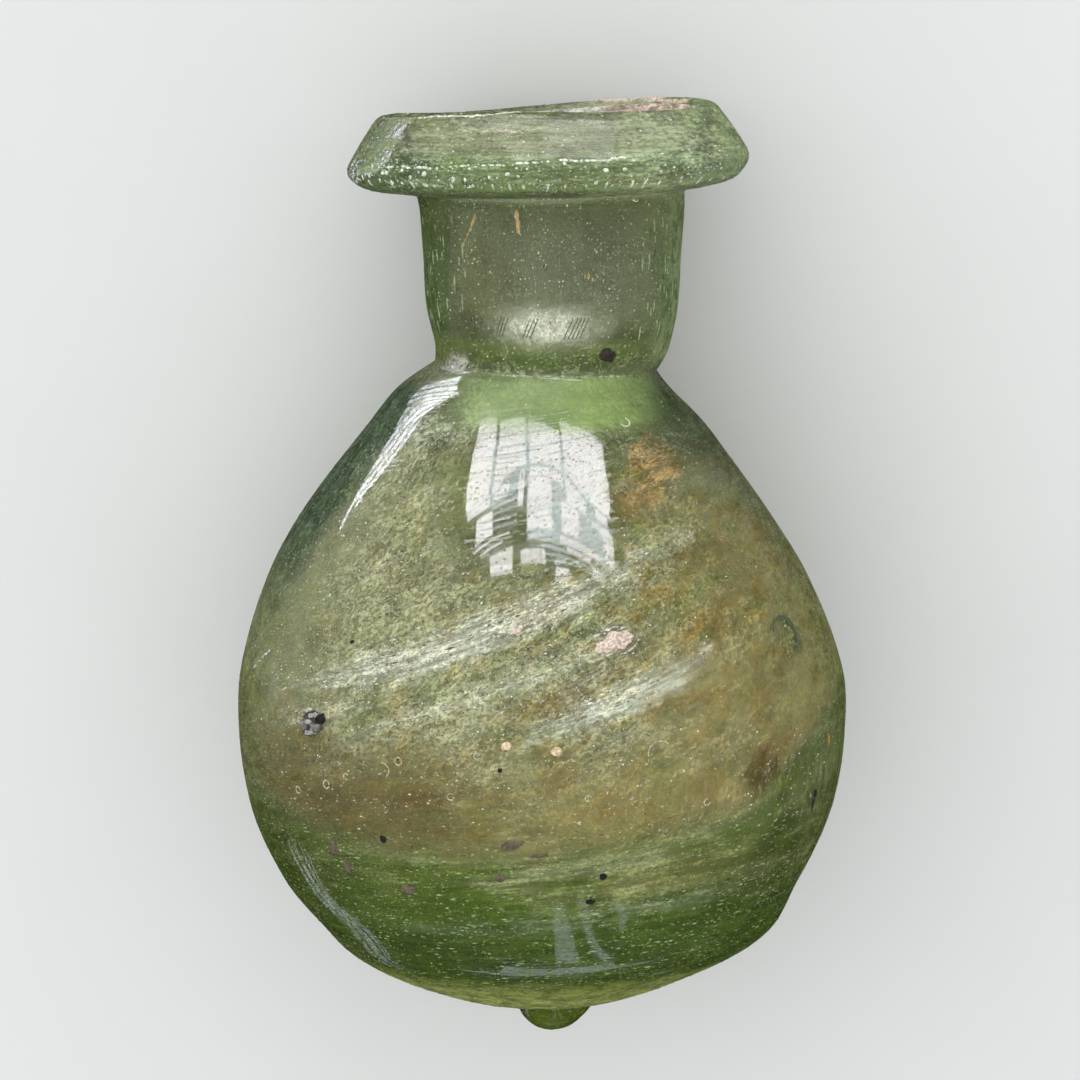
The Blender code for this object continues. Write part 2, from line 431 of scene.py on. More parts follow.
def soil_material():
    """The soil that dried on the inside, in fine grains and slanting bands, down to a ragged tide line."""
    n = new_material("dried_soil_and_painted_light")
    grit = n.layer("grit", "Vector")
    rough, drawn = n.layer("rough"), n.layer("drawn")
    clots = n.noise(grit, 1.7, 6, 0.9)
    clouds = n.noise(grit, 0.22, 3, 0.55)
    bands = n.noise(n.stretch(grit, (0.2, 0.2, 1)), 0.7, 5, 0.7)
    waver = n.plus(n.times(n.noise(grit, 0.5, 3, 0.6), 3.0), n.times(bands, 9.0))
    settled = n.span(n.plus(n.layer("tide"), n.math("SUBTRACT", waver, 6.0)), -2.5, 1.5, 0.5, 1.0)
    banded = n.eased_off(n.span(bands, 0.36, 0.62, 0.6, 1.35), drawn)
    grains = n.times(n.span(clots, 0.4, 0.6, 0.7, 1.3), banded)
    cover = n.times(n.times(n.layer("cover"), settled), n.eased_off(grains, rough), clamp=True)
    lit_bands = n.eased_off(n.span(bands, 0.36, 0.64, 0.55, 1.45), drawn)
    light = n.times(n.span(clots, 0.4, 0.62, 0.62, 1.4), lit_bands)
    light = n.times(n.eased_off(light, rough), n.span(clouds, 0.38, 0.62, 0.8, 1.2))
    return film_output(n, cover, n.scaled(n.mottled(n.layer("tint", "Color"), grit), light), 0.35)


def weathering_material():
    """Burial's thin film outside: haze, pale grains, fine bright lines along the marks, and painted edge
    shade.
    """
    n = new_material("weathered_skin_and_painted_light")
    grit = n.layer("grit", "Vector")
    rough, drawn = n.layer("rough"), n.layer("drawn")
    fine = n.noise(grit, 2.8, 4, 0.85)
    patches = n.noise(grit, 0.6, 5, 0.75)
    lines = n.noise(n.stretch(grit, (0.16, 0.16, 1)), 1.5, 5, 0.75)
    broad = n.noise(n.stretch(grit, (0.2, 0.2, 1)), 0.45, 3, 0.6)
    cells = n.add("TexVoronoi", {"Vector": grit, "Scale": 2.4}, "Distance")
    grains = n.plus(n.span(cells, 0.42, 0.08), n.span(broad, 0.38, 0.62, -0.35, 0.5))
    grains = n.plus(grains, n.times(n.layer("fleck"), 0.6))
    flecks = n.times(n.span(grains, 0.8, 1.2), n.span(fine, 0.4, 0.55, 0.3, 1.0))
    crowd = n.plus(lines, n.times(n.layer("scratch"), 0.16))
    scratches = n.times(n.span(crowd, 0.62, 0.74), n.span(fine, 0.35, 0.55, 0.25, 1.0))
    pale = n.math("MAXIMUM", n.times(flecks, 0.55), n.times(scratches, 0.5), clamp=True)
    streaks = n.eased_off(n.span(lines, 0.35, 0.62, 0.5, 1.5), drawn)
    haze = n.times(n.span(fine, 0.4, 0.6, 0.35, 1.7), streaks)
    haze = n.times(haze, n.span(patches, 0.38, 0.62, 0.55, 1.45))
    haze = n.times(n.layer("cover"), n.eased_off(haze, rough))
    # Painted shade: the film grows denser and darker towards the silhouette, in the colours of its edge
    # layer.
    edge_shading = n.span(n.add("LayerWeight", {"Blend": 0.5}, "Facing"), 0.2, 0.75, 0.0, 0.92)
    edge_shading = n.times(edge_shading, n.span(fine, 0.35, 0.62, 1.05, 0.7), clamp=True)
    streaked = n.scaled(n.layer("tint", "Color"), n.eased_off(n.span(lines, 0.36, 0.64, 0.55, 1.5), drawn))
    cream = n.times(n.span(patches, 0.48, 0.66, 0.0, 0.7), n.layer("mottle"))
    patched = n.mottled(n.mix(cream, streaked, n.toned(streaked, CREAM_TONE)), grit)
    edge_shading_mottle = n.times(n.span(fine, 0.38, 0.62, 0.7, 1.4), n.span(patches, 0.38, 0.62, 0.55, 1.5))
    tint = n.mix(edge_shading, patched, n.scaled(n.layer("edge_shading", "Color"), edge_shading_mottle))
    share = n.math("MAXIMUM", n.math("MAXIMUM", pale, haze), edge_shading, clamp=True)
    return film_output(n, share, n.mix(pale, tint, n.mix(0.6, tint, GRAIN_PALE)), 0.2)


def crumbly_material(name, crumbs, light, matt, relief=0.0):
    """Crumbs of chalk, ochre, peat or pitch, uneven in tone, and pitted where they have relief.

    The noise that makes them uneven is spread over these lightnesses and these roughnesses."""
    n = new_material(name)
    tone = n.noise(n.layer("form", "Vector"), *crumbs)
    n.fill("Principled BSDF", {"Base Color": n.scaled(n.layer("tint", "Color"), n.span(tone, *light)),
                               "Roughness": n.span(tone, 0.3, 0.7, *matt)})
    if relief:
        n.fill("Principled BSDF", {"Normal": n.bump(tone, relief, 0.0002)})
    return n.owner


def floor_material():
    """A pale matt floor with a breath of unevenness, which is dark where the flask mirrors it."""
    n = new_material("pale_floor")
    pale = n.mix(n.noise(n.add("TexCoord", {}, "Object"), 30.0, 3), *FLOOR_TONES)
    colour = n.mix(n.mirrored(), pale, FLOOR_IN_REFLECTIONS)
    n.fill("Principled BSDF", {"Base Color": colour, "Roughness": 0.9, "Specular IOR Level": 0.0})
    return n.owner


# ---------------------------------------------------------------- the grain of the glass

# How steeply the glass's streaks climb round the body at each height.
STREAK_CLIMB = [(0.0, 0.08), (14.0, 0.1), (23.0, 0.14), (33.0, 0.28), (42.0, 0.33), (56.0, 0.3), (66.0, 0.2)]
# The radius of the circle that stands, in the coordinates of the grain, for the way round the body.
GRAIN_RADIUS = 9.85


def streak_table():
    """Heights up the body with how far, in radians, a streak has turned by each and how long it is."""
    middle = (BODY_OUTLINE[1:] + BODY_OUTLINE[:-1]) / 2
    risen = np.linalg.norm(np.diff(BODY_OUTLINE[:, :2], axis=0), axis=1)
    climb = eased(middle[:, 1], STREAK_CLIMB)
    turned = np.cumsum([0, *(risen / (climb * middle[:, 0]))])
    length = np.cumsum([0, *(risen / np.sin(np.arctan(climb)))])
    return BODY_OUTLINE[:, 1], turned, length


def grain_of(points):
    """Coordinates in millimetres in which the glass's streaks run along the third axis."""
    x, y, z = points.T
    heights, turned, length = streak_table()
    around = np.arctan2(x, -y) - np.interp(z, heights, turned)
    along = np.interp(z, heights, length)
    body = np.column_stack([GRAIN_RADIUS * np.cos(around), GRAIN_RADIUS * np.sin(around), along])
    neck = np.column_stack([x, y, 0.5 * z + 400])
    return np.where((z > WAIST_HEIGHT)[:, None], neck, body)


# How steeply the marks on the body climb to the right of the front at each height.
MARK_CLIMB = [(0.0, 0.03), (14.0, 0.06), (22.0, 0.16), (32.0, 0.34), (48.0, 0.4), (57.0, 0.34), (64.0, 0.0)]


def slanted(points):
    """The points, each at the height where the slanting mark that it lies on crosses the front's middle."""
    x, y, z = points.T
    return np.column_stack([x, y, z - eased(z, MARK_CLIMB) * x])


def grit_of(points):
    """Coordinates in which round grains come out drawn along the marks, but for those of the neck."""
    z = points[:, 2]
    drawn = 1 - 0.3 * ramp(z, 70, 65) - 0.6 * ramp(z, *RIM_FOOT)
    return slanted(points) * np.column_stack([drawn, drawn, np.ones(len(z))])


# ---------------------------------------------------------------- pieces

def placed(name, data):
    """A new object that holds this data, in the scene."""
    thing = bpy.data.objects.new(name, data)
    bpy.context.scene.collection.objects.link(thing)
    return thing


def new_mesh(name, points, faces, material):
    mesh = bpy.data.meshes.new(name)
    mesh.from_pydata(points, [], faces)
    mesh.materials.append(material)
    return placed(name, mesh)


def made_piece(name, points, faces, material, lowest, **layers):
    """A piece of these upright points, laid on the floor and never lower than this many millimetres above it.

    Its points keep these layers for the material."""
    laid = points @ np.array(PLACE)[:3, :3].T + np.array(PLACE.translation)
    laid[:, 2] = np.maximum(laid[:, 2], lowest)
    piece = new_mesh(name, (laid * MM).tolist(), faces, material)
    piece.data.shade_smooth()
    for label, values in layers.items():
        kind, field = "FLOAT_VECTOR", "vector"
        if values.ndim == 1:
            kind, field = "FLOAT", "value"
        elif label in ("tint", "edge_shading"):
            kind, field = "FLOAT_COLOR", "color"
            values = np.column_stack([values, np.ones(len(values))])
        values = np.ascontiguousarray(values, np.float32).ravel()
        piece.data.attributes.new(label, kind, "POINT").data.foreach_set(field, values)
    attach(piece, "root")
    return piece


GRID, NORMALS, LIP_RING = glass_grid()
PLACE = resting_place(GRID.reshape(-1, 3))


def blot(points, centre, reach, ragged, seed, soft=0.2):
    """1 in the middle of a ragged blot and 0 outside it."""
    away = np.linalg.norm((points - np.array(centre)) / np.array(reach), axis=1)
    return ramp(away + ragged * wavy(points, 0.5 * min(reach), seed, 3), 0.95 + soft, 0.95 - soft)


def drawn_blot(points, centre, reach, ragged, seed, soft):
    """A blot that is drawn out along the marks."""
    return blot(slanted(points), slanted(np.array([centre]))[0], reach, ragged, seed, soft)


def coated(points, ground, coats):
    """The ground colour at each point under coats of other colours, each with the share that it covers."""
    tint = np.broadcast_to(ground, points.shape)
    for colour, share in coats:
        tint = tint + (np.array(colour) - tint) * share[:, None]
    return tint


def ball(rounds):
    """Vertices and faces of a ball of radius 1."""
    mesh = bmesh.new()
    bmesh.ops.create_icosphere(mesh, subdivisions=rounds, radius=1.0)
    points = np.array([vertex.co[:] for vertex in mesh.verts])
    faces = np.array([[vertex.index for vertex in face.verts] for face in mesh.faces])
    mesh.free()
    return points, faces


def streak_frames(rows, steps):
    """The axes at points of the outside: along the streaks, across them, and out of the glass."""
    out = NORMALS[rows, steps]
    z = GRID[rows, steps, 2]
    around = np.cross([0, 0, 1.0], out)
    around /= np.maximum(np.linalg.norm(around, axis=1, keepdims=True), 1e-9)
    up = np.cross(out, around)
    lean = eased(z, MARK_CLIMB) * -out[:, 1] / np.maximum(np.hypot(out[:, 0], out[:, 1]), 1e-9)
    climb = np.where(z > WAIST_HEIGHT, math.pi / 2, np.arctan(lean))
    level = (z > COLLAR_HEIGHT + 2.5) | (abs(z - WAIST_HEIGHT) < 2.5)
    climb = np.where(level, 0, climb)[:, None]
    along = around * np.cos(climb) + up * np.sin(climb)
    return np.stack([along, np.cross(out, along), out], axis=1)


def streak_frame(row, step):
    return streak_frames(np.array([row]), np.array([step]))[0]


# Zones of seed bubbles: lowest and highest height, how many, least and most radius, and longest stretch.
BUBBLE_ZONES = [
    (3.0, 20.0, 130, 0.1, 0.24, 3.0),
    (20.0, 62.0, 190, 0.1, 0.26, 2.5),
    (62.0, 72.0, 60, 0.1, 0.28, 1.6),
    (72.0, 87.0, 130, 0.1, 0.26, 1.8),
    (88.6, 92.0, 60, 0.12, 0.3, 3.2),
    (92.0, 95.5, 30, 0.1, 0.25, 1.6),
]
# Single large bubbles: their place on the outside, half-lengths along, across and into the wall, and depth.
LARGE_BUBBLES = [
    ((8.6, -13.8, 65.0), 0.72, 0.68, 0.55, 0.9),
    ((12.4, -17.4, 90.8), 0.75, 0.7, 0.6, 1.0),
    ((16.8, -13.2, 90.6), 0.85, 0.75, 0.6, 1.1),
    ((-14.8, -29.2, 31.0), 0.45, 0.4, 0.35, 0.8),
    ((-24.4, -21.8, 30.1), 0.5, 0.45, 0.4, 0.8),
    ((17.8, -19.2, 10.7), 1.7, 0.5, 0.45, 0.9),
    ((14.5, -30.5, 24.6), 1.0, 0.35, 0.3, 0.8),
    ((25.6, -17.0, 41.9), 2.5, 2.2, 0.5, 0.85),
]


def nearest(place):
    """The ring and step of the outside nearest to this place."""
    away = np.linalg.norm(GRID[:LIP_RING] - np.array(place), axis=2)
    return np.unravel_index(int(away.argmin()), away.shape)


def bubbles():
    """Hollows in the wall: every bubble's points, with the faces that look into it."""
    chance = random.Random(7)
    shape, corners = ball(2)
    found = []
    heights = GRID[:LIP_RING, :, 2].mean(axis=1)
    for low, high, count, least, most, stretch in BUBBLE_ZONES:
        rows = np.flatnonzero((heights > low) & (heights < high))
        spread = GRID[rows, 0, :2] - GRID[rows, TURN_STEPS // 2, :2]
        chances = np.linalg.norm(spread, axis=1).tolist()
        for _ in range(count):
            row = int(chance.choices(rows.tolist(), chances)[0])
            size = least + (most - least) * chance.random() ** 2
            long = size * chance.uniform(1, stretch)
            step = chance.randrange(TURN_STEPS)
            found.append((row, step, long, size, 0.85 * size, chance.uniform(0.5, 1.2)))
    for place, *sizes in LARGE_BUBBLES:
        found.append((*nearest(place), *sizes))
    points, faces = [], []
    for row, step, long, wide, thick, depth in found:
        axes = streak_frame(row, step)
        centre = GRID[row, step] - NORMALS[row, step] * depth
        faces += (corners[:, ::-1] + len(shape) * len(points)).tolist()
        points.append(centre + shape @ (axes * np.array([long, wide, thick])[:, None]))
    return np.vstack(points), faces


THROAT_GREEN = (0.8, 1.0, 0.5)
BASE_GREEN = (0.78, 0.9, 0.5)


def build_glass():
    """The glass with its seed bubbles, of a richer green where it is thick, at the throat and the base."""
    skin, faces = skin_of(GRID)
    seeds, hollows = bubbles()
    faces += (np.array(hollows) + len(skin)).tolist()
    points = np.vstack([skin, seeds])
    z = points[:, 2]
    tint = coated(points, (1.0, 1.0, 1.0), [
        (BASE_GREEN, ramp(z, 26, 16)),
        (THROAT_GREEN, ramp(z, 63, 66) * ramp(z, 73, 70)),
    ])
    layers = {"grain": grain_of(points), "tint": tint}
    piece = made_piece("flask_glass", points, faces, glass_material(), 0.05, **layers)
    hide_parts("flask")


# How high the soil's lower edge stands at the body's middle.
TIDE_HEIGHT = 31.5
OLIVE = (0.96, 0.9, 0.54)
SHADOW_OLIVE = (0.62, 0.66, 0.38)
TAN = (1.0, 0.86, 0.54)
BROWN = (0.55, 0.34, 0.14)
OCHRE = (0.8, 0.52, 0.2)
RUST = (0.93, 0.63, 0.34)
# Painted light: the lime glow of the throat, where light shines into the thick glass.
LIME_GLOW = (0.72, 0.95, 0.34)
GREY_FILM = (0.34, 0.35, 0.26)
# Painted highlight on the neck's front.
PAINTED_HIGHLIGHT_FILM = (0.95, 0.95, 0.75)
FOOT_GREEN = (0.55, 0.7, 0.28)
LIP_FILM = (0.8, 0.78, 0.68)
LIP_PINK = (0.85, 0.64, 0.56)
BASE_FILM = (0.26, 0.33, 0.1)
# Painted shade: the dark green of the shoulder's right half and of the patches beside the throat.
SHADE = (0.24, 0.28, 0.15)
# Painted shade: the dark teal of the band down the shoulder's left.
TEAL_SHADE = (0.19, 0.27, 0.17)
# Stains in the soil of the body: place, reach, tint and strength.
STAINS = [
    ((-0.1, -32.4, 36.8), (7, 8, 1.8), OCHRE, 0.8),
    ((6.0, -31.3, 39.6), (5, 8, 1.5), BROWN, 0.5),
    ((-12.4, -30.0, 27.6), (8, 8, 1.7), BROWN, 0.75),
    ((-21.9, -24.2, 30.2), (7, 10, 2.6), BROWN, 0.6),
    ((-17.0, -27.0, 34.5), (6, 8, 1.6), OCHRE, 0.5),
    ((14.4, -21.9, 51.1), (5, 8, 2.6), BROWN, 0.45),
    ((20.7, -19.9, 46.6), (5, 7, 2.8), BROWN, 0.45),
    ((16.4, -25.5, 43.0), (6, 7, 2.6), OCHRE, 0.55),
    ((23.0, -22.0, 39.0), (5, 7, 2.2), OCHRE, 0.5),
    ((-16.7, -21.2, 51.5), (6, 8, 2.5), OCHRE, 0.3),
    ((22.9, -21.2, 28.4), (2.8, 4, 2.6), BROWN, 1.0),
    ((11.2, -15.6, 59.6), (3.2, 5, 5.0), RUST, 1.0),
    ((9.6, -18.2, 56.0), (3.0, 5, 3.0), OCHRE, 0.9),
]


def soil_marks(points):
    """Two noises, the height above the tide line that the soil left, and how tan the soil is.

    It is tan low down, and up the right side."""
    x, y, z = points.T
    cloud = wavy(points, 11.0, 11, 3)
    ragged = wavy(points, 4.0, 12, 3)
    tide = z - TIDE_HEIGHT - 0.08 * x - 0.3 * y - 0.5 * np.maximum(0, x - 22) + 1.2 * ragged
    low = ramp(tide + 5 * cloud, 13, 4)
    right = ramp(x + 6 * cloud, 5, 17) * ramp(z, 60, 52) * ramp(y, 8, -8)
    return cloud, ragged, tide, np.maximum(low, 0.85 * right)


def left_shade(points):
    """How much each point lies in the band of painted shade down the left of the shoulder."""
    x, y, z = points.T
    turned = -x / np.maximum(np.hypot(x, y), 1e-9) + 0.04 * wavy(points, 5.0, 13, 3)
    start = 0.76 + 0.004 * (62 - z)
    return ramp(turned, start, start + 0.12) * ramp(z, 38, 54) * ramp(z, 69, 67)


def right_shade(points):
    """How much each point lies in the painted shade of the shoulder's right half."""
    x, _, z = points.T
    return ramp(x - 0.25 * (66 - z), 7, 11) * ramp(z, 54, 62)


def mottling(points, tide):
    """How strongly the body's film is patched with umber and moss: most on the right and low down."""
    x, y, z = points.T
    right = ramp(x + 6 * wavy(points, 9.0, 14, 2), -16, 6)
    strong = 0.35 + 0.55 * np.maximum(right, 0.8 * ramp(z, 44, 36))
    return ramp(tide, -1.0, 3.0) * ramp(z, 64, 60) * strong * (1 - 0.25 * ramp(z, 44, 38))


def window_zone(points):
    """1 where the front of the shoulder mirrors the window, and 0 elsewhere."""
    return blot(points, (-0.5, -21.0, 57.0), (10.4, 10, 9.5), 0.2, 77, 0.3)


def soil_layers(points):
    """The soil inside: olive in the shoulder, tan down to the tide line, and stained in patches."""
    x, y, z = points.T
    cloud, ragged, tide, tan = soil_marks(points)
    front = ramp(y, 8, -8)
    throat = ramp(z + 1.5 * ragged, 61.5, 65)
    neck = ramp(z, 72.5, 75)
    lip = ramp(z, 88, 92)
    # Painted highlight: a pale patch on the front of the neck's foot.
    gleam = blot(points, (1.0, -10.6, 74.4), (7.5, 7, 2.8), 0.2, 15, 0.6)
    stains = [(tint, strength * drawn_blot(points, np.add(place, (0, 2, 0)), reach, 0.6, 60 + k, 0.3))
              for k, (place, reach, tint, strength) in enumerate(STAINS)]
    # Some of these coats are painted light: shade on the shoulder's right and left, the lime glow of the
    # throat, and a highlight on the neck's front.
    tint = coated(points, OLIVE, [
        (SHADOW_OLIVE, ramp(cloud, 0.0, 0.6)),
        (TAN, tan),
        (BROWN, 0.6 * tan * ramp(x, -2, -16)),
        (SHADE, right_shade(points) * front),
        (TEAL_SHADE, left_shade(points)),
        *stains,
        (BASE_FILM, ramp(tide, 1.5, -1.5)),
        (LIME_GLOW, throat),
        (FOOT_GREEN, ramp(z, 68.5, 70)),
        (GREY_FILM, neck),
        (PAINTED_HIGHLIGHT_FILM, gleam),
        (LIP_FILM, lip),
        (LIP_PINK, lip * ramp(x, 5, 9)),
    ])
    cover = (0.46 + 0.34 * tan + 0.1 * cloud) * (ramp(z, 66, 56) * 0.6 + 0.4)
    cover = np.maximum.reduce([cover, *(0.95 * stain for _, stain in stains)])
    cover = cover * (1 - throat) + 0.5 * throat
    cover = cover * (1 - neck) + neck * (0.42 + 0.12 * ragged)
    cover = np.maximum.reduce([cover, 0.95 * gleam, lip * (0.7 + 0.2 * ragged)])
    cover = cover * (0.6 + 0.4 * np.maximum(front, lip))
    rough = (1 - 0.5 * tan) * (1 - 0.85 * throat) + (0.6 * lip - 0.1) * neck + 0.3 * neck
    rough *= 1 - 0.7 * window_zone(points)
    rough *= 1 - 0.6 * drawn_blot(points, (11.2, -13.6, 59.6), (3.2, 5, 5.0), 0.6, 71, 0.3)
    drawn = np.maximum(0.25 + 0.1 * tan, 0.8 * ramp(tide, 3, -3)) * (1 - 0.6 * neck)
    return {"tint": tint, "cover": np.clip(cover, 0, 1), "tide": tide, "rough": np.clip(rough, 0.15, 1),
            "mottle": mottling(points, tide), "drawn": drawn, "grit": grit_of(points)}


def build_soil():
    """The film inside: on the glass at the lip, and from the neck down bitten a hair into it."""
    first = LIP_RING - 1
    bite = 0.12 - 0.18 * ramp(GRID[first:, :, 2:], 86, 90)
    film = GRID[first:] - NORMALS[first:] * bite
    points, faces = skin_of(film)
    faces = [face[::-1] for face in faces]
    made_piece("soil_film_and_painted_light", points, faces, soil_material(), 0.3, **soil_layers(points))


# How far the weathering film stands off the glass.
FILM_THICKNESS = 0.05
HAZE = (0.78, 0.785, 0.5)
TAN_HAZE = (0.67, 0.56, 0.245)
BROWN_HAZE = (0.44, 0.36, 0.17)
# Pale haze of the crowded grains, and the painted highlight on the neck's front.
WEDGE_BROWN = (0.17, 0.12, 0.045)
PALE_HAZE_AND_HIGHLIGHT = (0.82, 0.83, 0.66)
NECK_HAZE = (0.33, 0.37, 0.21)
# Painted shade down the neck's sides.
NECK_SIDE_SHADE = (0.15, 0.22, 0.08)
NECK_BROWN = (0.29, 0.25, 0.1)
NECK_GREY = (0.31, 0.34, 0.24)
NECK_FOOT = (0.36, 0.44, 0.16)
BASE_HAZE = (0.18, 0.245, 0.045)
FOOT_HAZE = (0.46, 0.51, 0.2)
RIM_HAZE = (0.38, 0.4, 0.265)
ROLL_HAZE = (0.44, 0.56, 0.31)
ROLL_PALE = (0.63, 0.76, 0.45)
BEVEL_HAZE = (0.46, 0.54, 0.34)
SAGE = (0.72, 0.76, 0.54)
SMEAR = (0.66, 0.64, 0.56)
# Painted shade: the dark colours that the weathering film takes towards the silhouette, milder at the foot
# and on the neck's right.
BODY_EDGE_SHADE = (0.11, 0.14, 0.052)
SHOULDER_EDGE_SHADE = (0.055, 0.075, 0.04)
BASE_EDGE_SHADE = (0.054, 0.078, 0.013)
FOOT_EDGE_SHADE = (0.29, 0.33, 0.085)
BASE_OLIVE = (0.5, 0.51, 0.25)
BASE_DEEP = (0.12, 0.21, 0.035)
BASE_RUST = (0.5, 0.4, 0.14)
STUB_HAZE = (0.145, 0.2, 0.03)
NECK_EDGE_SHADE = (0.085, 0.115, 0.035)
NECK_RIGHT_EDGE_SHADE = (0.25, 0.31, 0.15)
RUST_HAZE = (0.67, 0.48, 0.24)
# Painted light: the lime glow of the throat, where light shines into the thick glass.
THROAT_GLOW = (0.64, 0.8, 0.38)
THROAT_LIME_GLOW = (0.6, 0.79, 0.29)
# A browner haze on the right of the shoulder, partly the soil's brown and partly painted shade.
RIGHT_HAZE_AND_SHADE = (0.43, 0.4, 0.23)
BLISTER_HAZE = (0.17, 0.185, 0.09)
# Where pale grains crowd into bands on the front: place, reach and strength.
PALE_BANDS = [
    ((-8, -28.5, 43.5), (17, 10, 1.9), 1.0),
    ((-1, -27, 47.0), (14, 10, 1.2), 0.8),
    ((-17, -24, 40.5), (13, 10, 1.0), 0.7),
    ((9, -29.6, 37.8), (10.5, 8, 1.4), 1.0),
    ((10, -28.5, 39.3), (8, 8, 0.8), 0.8),
    ((-4, -31, 39.0), (16, 8, 0.8), 0.5),
    ((-22, -22, 35.5), (8, 8, 1.2), 0.5),
    ((10, -24, 51.5), (8, 7, 0.8), 0.7),
    ((4, -31.5, 20.0), (16, 8, 0.8), 0.12),
    ((12, -26, 15.5), (12, 8, 0.7), 0.25),
    ((-6, -27, 13.0), (14, 8, 0.7), 0.2),
]


def band_strength(points):
    """How strongly pale grains crowd at each of these points."""
    return np.maximum.reduce([np.zeros(len(points)), *(
        strength * drawn_blot(points, place, reach, 0.6, 30 + k, 0.4)
        for k, (place, reach, strength) in enumerate(PALE_BANDS))])


def weathering_layers(points):
    """Tint and strength of each mark of the skin outside: most on the rim, next on the body's middle."""
    x, y, z = points.T
    cloud = wavy(points, 9.0, 21, 3)
    _, _, tide, tan = soil_marks(points)
    crowd = band_strength(points)
    glazed = window_zone(points)
    # The parts of the flask, from the base to the rim.
    foot, base, body = ramp(z, 5, 2.5), ramp(z, 24, 18), ramp(z, 68, 60)
    above = ramp(tide, -2.2, 1.0)
    below = 1 - above
    strata = ramp(wavy(slanted(points) * (0.12, 0.12, 1), 1.3, 75, 3), -0.35, 0.45)
    upper = below * ramp(z + 0.1 * x + 2 * cloud, 14, 19)
    # The throat's band carries a painted lime glow.
    throat = ramp(z + 1.2 * cloud, 62.6, 65.6) * ramp(z, 70.0, 68.6) * ramp(y, -2, -8) * ramp(x, -13, -6)
    neck_foot = ramp(z, 69.5, 70.5) * ramp(z, 73.6, 72.4)
    rim, band = ramp(z, *RIM_FOOT), ramp(z, 91.5, 93.5)
    # Painted shade: the neck's sides, where its wall is seen edge-on, are laid a darker green.
    wall = ramp(abs(x - 1.2) + 0.5 * cloud, 10.2, 11.8) * ramp(z, 72, 74) * (1 - rim)
    # Single marks.
    wedge = blot(points, (23.1, -22.7, 28.8), (2.6, 5, 2.4), 0.5, 80, 0.2)
    blister = blot(points, (26.1, -16.4, 42.1), (2.0, 2.4, 2.2), 0.1, 79, 0.3)
    rust = np.maximum(drawn_blot(points, (11.7, -15.2, 60.2), (3.1, 5, 5.4), 0.7, 71, 0.25),
                      drawn_blot(points, (9.6, -18.8, 56.6), (2.8, 5, 2.8), 0.7, 73, 0.25))
    sage = blot(points, (-11.3, -13.6, 63.4), (4.0, 5, 2.2), 0.25, 78, 0.6)
    smear = blot(points, (-9.6, -7.8, 70.3), (2.2, 3, 1.1), 0.25, 74, 0.4)
    # Painted highlight: a pale patch on the front of the neck's foot.
    gleam = blot(points, (0.8, -12.9, 74.6), (6.0, 6, 2.3), 0.15, 72, 0.7)
    bevel = blot(points, (-18.0, -8.0, 93.6), (3.4, 8, 3.4), 0.3, 81, 0.4)
    teal_shade = left_shade(points)
    # Painted shade: the right of the shoulder, and patches beside the throat, are laid darker.
    right = ramp(x - 0.25 * (66 - z), 8, 12) * ramp(z, 53, 61) * ramp(z, 66, 62) * ramp(y, 8, 0)
    side_shade = ramp(x + 0.5 * cloud, 10.4, 13.4) * ramp(z, 60, 64) * ramp(z, 71, 69.5)
    front_shade = 0.8 * (1 - rust) * ramp(x, 4.5, 7) * ramp(z, 59.5, 61.5) * ramp(z, 64.8, 63.4)
    painted_shade = np.maximum(side_shade, front_shade) * ramp(y, 8, 0)
    # Some of these coats are painted light: shade on the shoulder, beside the throat and down the neck's
    # sides, the lime glow of the throat, and a highlight on the neck's front.
    tint = coated(points, HAZE, [
        (TAN_HAZE, tan),
        (BROWN_HAZE, tan * ramp(x, 0, -14) * ramp(z, 44, 38)),
        (WEDGE_BROWN, wedge),
        (BASE_HAZE, below),
        (BASE_OLIVE, 0.65 * upper * strata),
        (BASE_DEEP, ramp(z + 2 * cloud, 18, 14) * ramp(z, 4.5, 7) * (0.5 + 0.5 * strata)),
        (BASE_RUST, 0.35 * blot(slanted(points), (14.0, -26.0, 17.5), (9, 9, 1.6), 0.6, 76, 0.4)),
        (FOOT_HAZE, foot),
        (STUB_HAZE, ramp(z, 1.5, 0.3)),
        (PALE_HAZE_AND_HIGHLIGHT, crowd * body),
        (NECK_HAZE, ramp(z, 70, 72)),
        (NECK_SIDE_SHADE, wall),
        (NECK_BROWN, 0.9 * blot(points, (-7.0, -11.6, 79.0), (4.0, 6, 4.5), 0.3, 82, 0.5) * (1 - wall)),
        (NECK_GREY, 0.7 * blot(points, (4.5, -13.0, 81.0), (6.5, 6, 4.5), 0.2, 83, 0.5) * (1 - wall)),
        (NECK_FOOT, neck_foot),
        (ROLL_HAZE, rim),
        (RIM_HAZE, band),
        (ROLL_PALE, 0.9 * rim * ramp(x + 2 * cloud, 5, 13) * (1 - 0.7 * band)),
        (BEVEL_HAZE, bevel),
        (THROAT_GLOW, throat),
        (THROAT_LIME_GLOW, throat * ramp(x + cloud, 0, 7)),
        (RIGHT_HAZE_AND_SHADE, 0.8 * right),
        (RUST_HAZE, rust),
        (BLISTER_HAZE, 0.8 * blister),
        (PALE_HAZE_AND_HIGHLIGHT, gleam),
        (SAGE, sage),
        (TEAL_SHADE, teal_shade),
        (SHADE, painted_shade),
        (SMEAR, smear),
    ])
    # Painted shade: the haze is darker towards the lower left of the body.
    tint *= (1 - 0.18 * ramp(x, -10, -24) * ramp(z, 52, 44) * body)[:, None]
